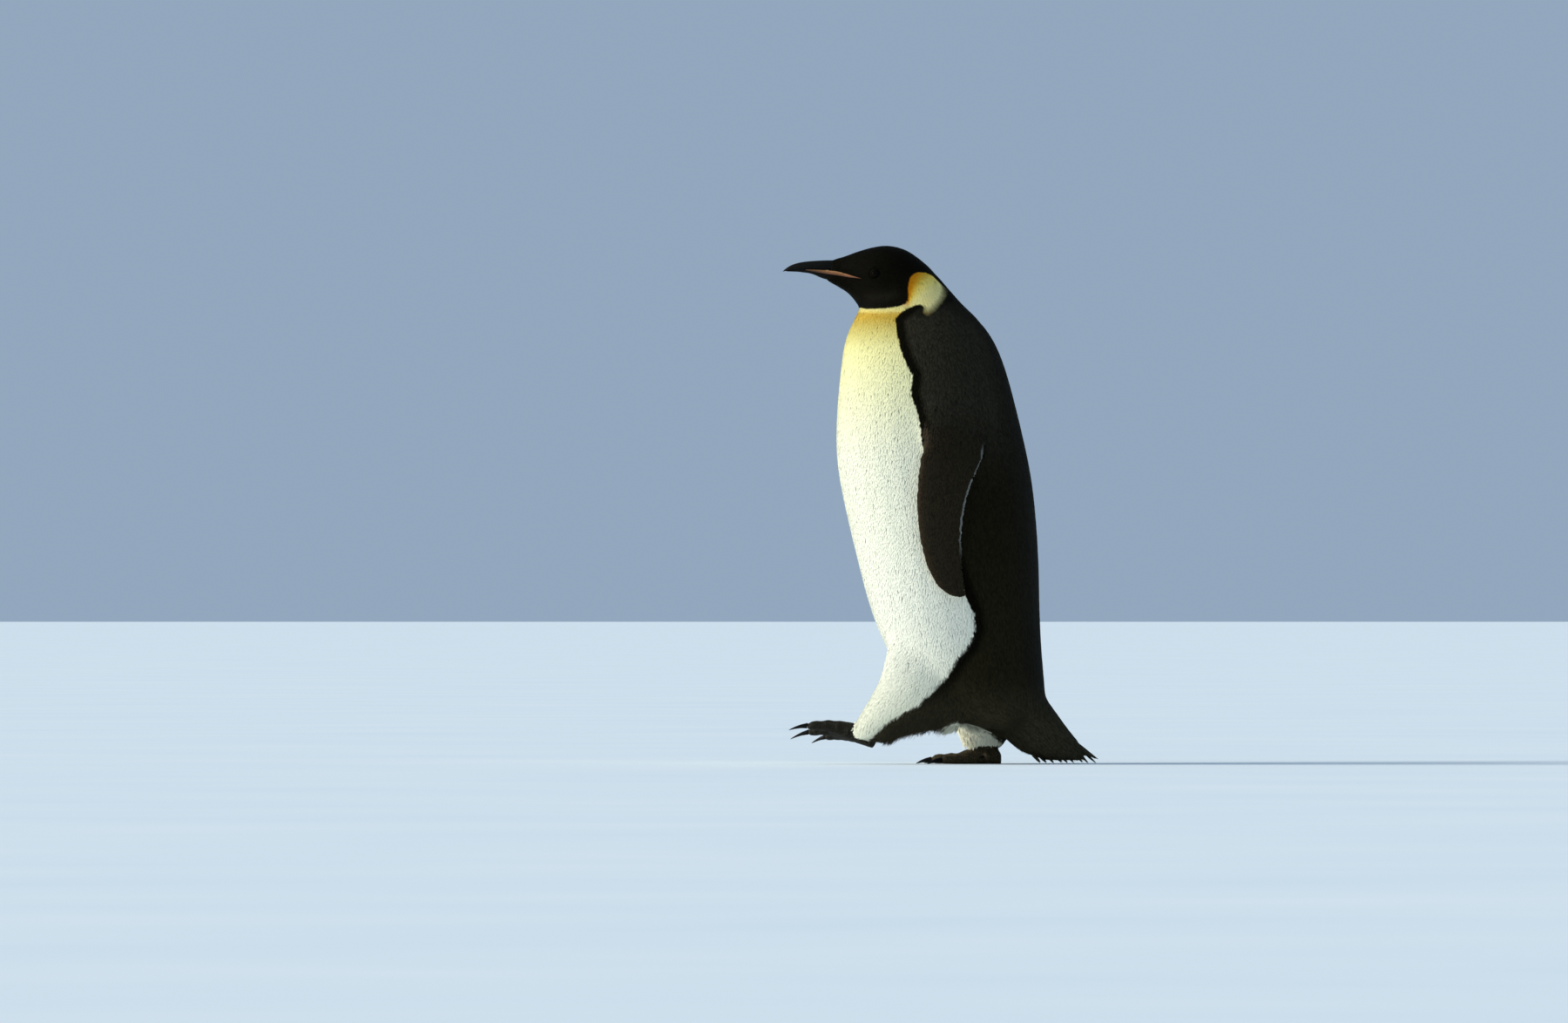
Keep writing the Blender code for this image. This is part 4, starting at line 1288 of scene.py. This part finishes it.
def make_fringes():
    """Hairy hem of the body, fluffy ankles and the small feathers over the tail."""
    kinds = F_KINDS
    x, _, z = F_MIDDLES.T
    slope = unit(S_NORMALS[S_FACES].sum(1))
    body = np.isin(kinds, (TRUNK, LEG_L))
    hem = body & (z < 0.125) & (slope[:, 2] < -0.05) & (slope[:, 2] > -0.90) & (x > -0.130)
    toes = (kinds == LEG_L) & (x <= -0.128) & (x > -0.156) & (slope[:, 2] < -0.25)
    over_foot = (x > -0.032) & (x < 0.078) & (aside(F_MIDDLES) < 0.02)
    under = body & (z < 0.090) & (slope[:, 2] < 0.10) & (x > -0.052) & (x < 0.060)
    shin = (kinds == LEG_R) & (z > 0.044) & (x < 0.022) & (slope[:, 0] < 0.25)
    left = (kinds == LEG_L) & (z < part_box("leg_left")[0].z + 0.040) & (x < -0.100)
    right = (kinds == LEG_R) & (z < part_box("leg_right")[0].z + 0.030)
    right &= ~bare_heel(F_MIDDLES, kinds, -0.006)
    rump = np.isin(kinds, (TAIL, TRUNK)) & (z < 0.125) & (x > 0.085)
    coverts = rump & (slope[:, 2] > -0.3) & (z > 0.022) & (x < 0.202)
    strands = rump & (slope[:, 2] <= 0.1) & (z > 0.024) & (x < 0.195)
    # Name, faces, spacing, seed, length, width, lift, curve, turn, down, which colours, flatness
    hem_shape = ((0.8, 1.5), (-0.05, 0.10), (-0.05, 0.10), 0.24, 1.1, is_dark, 0.30)
    ankle_shape = ((8, 13), (1.4, 2.2), (0.0, 0.16), (-0.08, 0.02), 0.18, 0.1)
    rows = (
        ("fringe_hem", hem & ~over_foot, 0.78, 31, (12, 23), *hem_shape),
        ("fringe_hem_short", hem & over_foot, 0.78, 33, (4, 8), *hem_shape),
        ("fringe_hem_front", toes, 0.80, 35, (10, 15), (1.0, 1.8), (-0.02, 0.10), (-0.05, 0.08),
         0.20, 0.9, is_dark, 0.30),
        ("fringe_under", under, 0.72, 37, (13, 25), (1.0, 1.9), (0.0, 0.14), (-0.10, 0.05),
         0.28, 1.3, is_pale, 0.30),
        ("fringe_shin", shin, 0.75, 47, (10, 21), (1.1, 1.9), (0.18, 0.60), (-0.25, 0.0), 0.28, 0.1),
        ("fringe_ankle_left", left, 0.9, 41, *ankle_shape),
        ("fringe_ankle_right", right, 0.9, 43, *ankle_shape),
        ("tail_coverts", coverts, 1.15, 53, (18, 28), (2.2, 3.2), (0.02, 0.08), (-0.08, 0.02), 0.10),
        ("tail_strands", strands, 1.7, 59, (10, 17), (1.4, 2.2), (0.0, 0.12), (-0.05, 0.08),
         0.16, 0.5, is_dark, 0.5),
    )
    for row in rows:
        grown(*row)


# The quills: how many pairs, where in x the first and last end, and the rows that carry on past them
QUILL_PAIRS = 9
TAIL_FRONT = 0.1385
TAIL_END = 0.2374
QUILL_LAYERS = 4
END_ROWS = 8
END_TIP = (0.2436, 0.0085)


def make_quills():
    """The stiff tail feathers: pairs whose tips make a comb along the floor, and rows past the end."""
    rng = np.random.default_rng(61)
    tips, lies, sizes, widths, normals = [], [], [], [], []

    def quill(tip_x, tip_z, off, steep, length, width):
        lie = unit(np.array([math.cos(steep), 0.10 * off / 0.03, -math.sin(steep)]))
        tips.append((tip_x, LEAN * tip_z + MID_Y + off, tip_z))
        lies.append(lie)
        sizes.append(length)
        widths.append(width)
        normals.append((0.25, math.copysign(0.9, off), 0.40))

    for i in range(QUILL_PAIRS):
        t = i / (QUILL_PAIRS - 1)
        place = TAIL_FRONT + (TAIL_END - TAIL_FRONT) * t + rng.uniform(-0.0022, 0.0022)
        steep = math.radians(47 - 3 * t + rng.uniform(-3, 3))
        for sign in (-1, 1):
            for layer in range(QUILL_LAYERS):
                off = sign * max(0.003, (0.034 - 0.024 * t) - 0.007 * layer)
                x = place + rng.uniform(-0.0016, 0.0016)
                z = rng.uniform(0.0008, 0.0030)
                quill(x, z, off, steep, 0.028 + 0.026 * t, rng.uniform(0.0038, 0.0052))
            # A short one in the gap after each pair but the last
            if i < QUILL_PAIRS - 1:
                x = place + 0.0062 + rng.uniform(-0.001, 0.001)
                z = rng.uniform(0.0040, 0.0065)
                quill(x, z, sign * (0.028 - 0.020 * t), steep, 0.026, rng.uniform(0.0024, 0.0034))
    for i in range(END_ROWS):
        t = i / (END_ROWS - 1)
        for sign in (-1, 1):
            for layer in range(QUILL_LAYERS):
                back = 0.030 * t**1.3 + rng.uniform(0, 0.0020) + 0.0024 * layer
                x = END_TIP[0] - back
                z = END_TIP[1] + 0.68 * back - 0.0012 * layer - 0.0012
                steep = math.radians(33 + 8 * t)
                quill(x, z, sign * (0.002 + 0.006 * layer), steep, 0.050, rng.uniform(0.0046, 0.0060))
    lies, sizes, widths = np.array(lies), np.array(sizes), np.array(widths)
    roots = np.array(tips) - lies * sizes[:, None]
    normals = tangent(np.array(normals), lies)
    count = len(roots)
    bend = rng.uniform(-0.01, 0.01, count)
    points = blades(roots, normals, lies, sizes, widths, np.zeros(count), bend, 0.0008)
    columns = (everywhere(LOW_DARK, count), rng.uniform(-1, 1, count), box_chart(roots), sizes, widths)
    material = coat_material("coat_quill", 0.3, 0.06, 0.55)
    feather_object("tail_quills", points, *columns, material, "plumage_dark")


# Faces of a scale, and where its points are, across it and along it: the middle, then the six corners
SCALE_UPPER = [(0, 1 + k, 1 + (k + 1) % 6) for k in range(6)]
SCALE_FACES = np.array(SCALE_UPPER + [(1, 3, 2), (1, 4, 3), (1, 5, 4), (1, 6, 5)])
SCALE_ACROSS = np.array([0, 1, 0.5, -0.5, -1, -0.5, 0.5])
SCALE_ALONG = np.array([0.5, 0.5, 1, 1, 0.5, 0, 0])


def make_scales():
    """Low six-sided scales over the feet."""
    material = foot_material()
    heel = bare_heel(F_MIDDLES, F_KINDS, -0.008)
    feet = (
        ("scales_left", F_KINDS == FOOT_L, FOOT_DARK, 71),
        # The standing foot's scales carry its painted light
        ("scales_right", (F_KINDS == FOOT_R) | heel, FOOT_BROWN_PAINTED_LIGHT, 73),
    )
    for name, scaly, colour, seed in feet:
        face, bary = scatter(scaly, 1.0, seed)
        rng = np.random.default_rng(seed + 1)
        count = len(face)
        roots, normals, lie = planted(face, bary)
        across = np.cross(normals, lie)
        size = rng.uniform(0.0010, 0.0014, count)
        points = np.empty((count, 7, 3))
        points[:, 0] = roots + normals * 0.00045
        for k in range(6):
            turn = k * math.pi / 3
            out = lie * math.cos(turn) + across * math.sin(turn) * 1.1
            points[:, 1 + k] = roots + out * size[:, None] - normals * 0.00012
        points[..., 2] = np.maximum(points[..., 2], 0.0002)
        chart = np.stack([roots[:, 0], roots[:, 1] + 0.12 * (normals[:, 2] < 0)], 1)
        columns = (everywhere(colour, count), rng.uniform(-1, 1, count), chart, size, size)
        shape = (SCALE_FACES, SCALE_ACROSS, SCALE_ALONG)
        feather_object(name, points, *columns, material, "foot_black", *shape)


# The lids: half angle of the opening, then angle past it and radius as a share of the eye's
LID_OPEN = 0.52
LID_WIDEN = (0.03, 0.16, 0.36, 0.62)
LID_RADIUS = (1.075, 1.085, 1.06, 1.00)
LID_FEATHERS = 520
GOLDEN_ANGLE = 2.399963


def pointed(axis, along, up, polar, turn):
    """Directions at an angle from an axis, turned round it, and the way round it that each is turned."""
    around = along * np.cos(turn)[..., None] + up * np.sin(turn)[..., None]
    return axis * np.cos(polar)[..., None] + around * np.sin(polar)[..., None], around


def eye_frame(outward):
    """The way an eye looks, the way back along the head, and the way up across it."""
    axis = unit(np.array([-0.12, outward, 0.02]))
    along = unit(np.cross((0, 0, 1), axis)) * -outward
    return axis, along, np.cross(axis, along) * outward


def make_eye_feathers():
    """Tiny feathers over the outer part of each lid, so that only a narrow rim is bare."""
    rng = np.random.default_rng(83)
    count = LID_FEATHERS
    i = np.arange(count)
    rows = []
    for centre, outward in zip(EYES, (-1, 1)):
        axis, along, up = eye_frame(outward)
        turn = i * GOLDEN_ANGLE + rng.uniform(-0.1, 0.1, count)
        polar = LID_OPEN + 0.15 + 0.62 * (i + 0.5) / count
        direction, around = pointed(axis, along, up, polar, turn)
        radius = EYE_RADIUS * np.interp(polar - LID_OPEN, LID_WIDEN, LID_RADIUS)
        places = centre + direction * radius[:, None]
        lie = tangent(S_LIE[S_FACES[nearest(S_TREE, places)[2], 0]], direction)
        inwards = -(lie * (around * np.cos(polar)[:, None] - axis * np.sin(polar)[:, None])).sum(1)
        room = (polar - LID_OPEN - 0.07) * EYE_RADIUS / np.maximum(inwards, 0.05)
        chart = np.stack([polar * np.cos(turn) + 4 * outward, polar * np.sin(turn)], 1)
        rows.append((places, direction, lie, room, chart))
    roots, normals, lies, room, charts = (np.concatenate(column) for column in zip(*rows))
    length = np.minimum(rng.uniform(0.0020, 0.0028, len(roots)), room)
    width = np.minimum(rng.uniform(0.0010, 0.0013, len(roots)), 0.7 * length)
    points = vanes(roots, normals, lies, length, width, np.full(len(roots), 0.00035))
    columns = (everywhere(DEEP, len(roots)), rng.uniform(-1, 1, len(roots)), charts, length, width)
    material = coat_material("coat_eyelid", 0.14, 0.025, 0.58)
    shading = soft_normals(points, normals)
    feather_object("coat_eyes", points, *columns, material, "plumage_black", shading=shading)


def ring_faces(rings, segments, closed=False):
    """Four-sided faces between rings of points, and from the last ring back to the first if closed."""
    j = np.arange(segments)
    k = (j + 1) % segments
    bands = [(i * segments, (i + 1) * segments) for i in range(rings - 1)]
    faces = [np.stack([low + j, low + k, high + k, high + j], 1) for low, high in bands]
    if closed:
        last = (rings - 1) * segments
        faces.append(np.stack([last + j, last + k, k, j], 1))
    return np.concatenate(faces)


def make_lid(centre, outward):
    """A black bare rim round an eye, to be joined to the skin."""
    axis, along, up = eye_frame(outward)
    segments = 56
    rings = ((0.985, 0.0), (1.035, -0.02), *zip(LID_RADIUS, LID_WIDEN))
    turn = 2 * math.pi * np.arange(segments) / segments
    corner = np.abs(np.cos(turn)) ** 6
    opening = LID_OPEN + 0.07 * corner - 0.06 * np.maximum(0.0, np.sin(turn)) * (1 - corner)
    points = []
    for radius, widen in rings:
        direction, _ = pointed(axis, along, up, opening + widen, turn)
        points.extend(centre + direction * EYE_RADIUS * radius)
    lid = mesh_of("lid", np.array(points), ring_faces(len(rings), segments, True), True)
    face_outwards(lid)
    put(lid, "plume", everywhere(DEEP, len(points)))
    return lid


make_camera()
make_stage()
make_coat()
FRINGE = coat_material("coat_fringe", 0.22, 0.06, 0.6)
make_fringes()
make_quills()
make_scales()
make_eye_feathers()

put(skin, "plume", S_COLOUR)
parts = [skin, *(make_lid(centre, outward) for centre, outward in zip(EYES, (-1, 1)))]
chosen = {"selected_objects": parts, "selected_editable_objects": parts}
with bpy.context.temp_override(active_object=skin, object=skin, **chosen):
    bpy.ops.object.join()
skin.data.shade_smooth()
dress(skin, skin_material(), FLESH)


# ---------------------------------------------------------------- bill, claws and eyes


TOWARDS_TIP = np.array((-1.0, 0.0, 0.0))
STEPS_UP = 40


def smooth_piece(name, node, voxel, steps, material, shape=None, swell=0.0, grow=0.0):
    """A finely remeshed, softened copy of a hard node, with how near each point is to its tip and its
    top. It may grow all over, so that thin edges stay whole, and swell towards its root."""
    points, faces = inflated(node, grow)
    obj = remeshed(name, points, faces, voxel)
    faces = triangles_of(obj.data)
    points = vertices_of(obj.data)
    points = Net(len(points), edges_of(faces)).soften(points, steps, 0.5)
    points = shape(points) if shape else points
    along = points @ TOWARDS_TIP
    tip = (along - along.min()) / np.ptp(along)
    points = points + vertex_normals(points, faces) * (swell * (1 - tip))[:, None]
    points[:, 2] = np.maximum(points[:, 2], 0.0002)
    move_points(obj, points)
    obj.data.shade_smooth()
    slot_of, bottom, top = bands(tip, points[:, 2], STEPS_UP)
    put(obj, "tip", smoothstep(0, 1, tip))
    put(obj, "high", (points[:, 2] - bottom[slot_of]) / (top - bottom)[slot_of])
    dress(obj, material, [node])


BILL_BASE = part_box("bill_upper")[1].x


def rooted(points):
    """Carries the bill's base on under the feathers of the face."""
    points[:, 0] += 0.012 * smoothstep(BILL_BASE - 0.010, BILL_BASE - 0.001, points[:, 0])
    return points


def grooved(points):
    """A groove along each side of the upper bill, from the nostril towards the tip."""
    along = along_node("bill_upper", points)
    side = aside(points)
    line = 0.8835 - 0.0035 * smoothstep(0.45, 0.05, along)
    depth = 0.00055 * np.exp(-(((points[:, 2] - line) / 0.0008) ** 2)) * smoothstep(0.10, 0.35, along)
    points[:, 1] -= np.sign(side) * depth * smoothstep(0.002, 0.004, np.abs(side))
    return rooted(points)


def deepened(points):
    """Fuller underside towards the throat, and a front half that closes against the upper bill."""
    low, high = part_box("bill_lower")
    along = along_node("bill_lower", points)
    lower = smoothstep(high.z - 0.002, low.z + 0.002, points[:, 2] + 0.006 * (1 - along))
    points[:, 2] -= 0.0046 * smoothstep(0.25, 0.78, along) * lower
    points[:, 2] += 0.0005 + 0.0009 * smoothstep(0.45, 0.25, along)
    return rooted(points)


def make_eye(node, centre, outward):
    """A glossy eyeball with a slight bulge in front."""
    segments, rings = 48, 32
    axis = unit(np.array([0.10, outward, 0.10]))
    side = unit(np.cross(axis, (0, 0, 1)))
    up = np.cross(side, axis)
    polar, turn = np.meshgrid(
        math.pi * np.arange(rings + 1) / rings, 2 * math.pi * np.arange(segments) / segments, indexing="ij"
    )
    bulge = 1.0 + 0.02 * np.exp(-((polar / 0.5) ** 2))
    direction, _ = pointed(axis, side, up, polar, turn)
    points = (centre + direction * EYE_RADIUS * bulge[..., None]).reshape(-1, 3)
    faces = ring_faces(rings + 1, segments)
    ball = mesh_of(node.replace("eye", "eyeball"), points, faces, True)
    put(ball, "gaze", (polar / math.pi * 2).ravel())
    face_outwards(ball, weld=1e-7)
    dress(ball, EYE_SURFACE, [node])


horn = horn_material("horn_bill", (0.0075, 0.0070, 0.0060), (0.003, 0.003, 0.0025), 0.46)
claw_horn = horn_material("horn_claw", (0.010, 0.009, 0.008), (0.004, 0.004, 0.004), 0.40)
coral = plate_material()
smooth_piece("horn_upper", "bill_upper", 0.0005, 12, horn, grooved)
smooth_piece("horn_lower", "bill_lower", 0.0005, 12, horn, deepened)
for hand in ("left", "right"):
    node = "bill_plate_" + hand
    smooth_piece("plate_" + hand, node, 0.0003, 14, coral, narrowed, grow=0.0003)
for claw in sorted(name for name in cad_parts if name.startswith("claw")):
    smooth_piece(claw.replace("claw", "nail"), claw, 0.0005, 6, claw_horn, swell=0.0009)

EYE_SURFACE = eye_material()
for eye_node, eye_centre, outward in zip(EYE_NODES, EYES, (-1, 1)):
    make_eye(eye_node, eye_centre, outward)
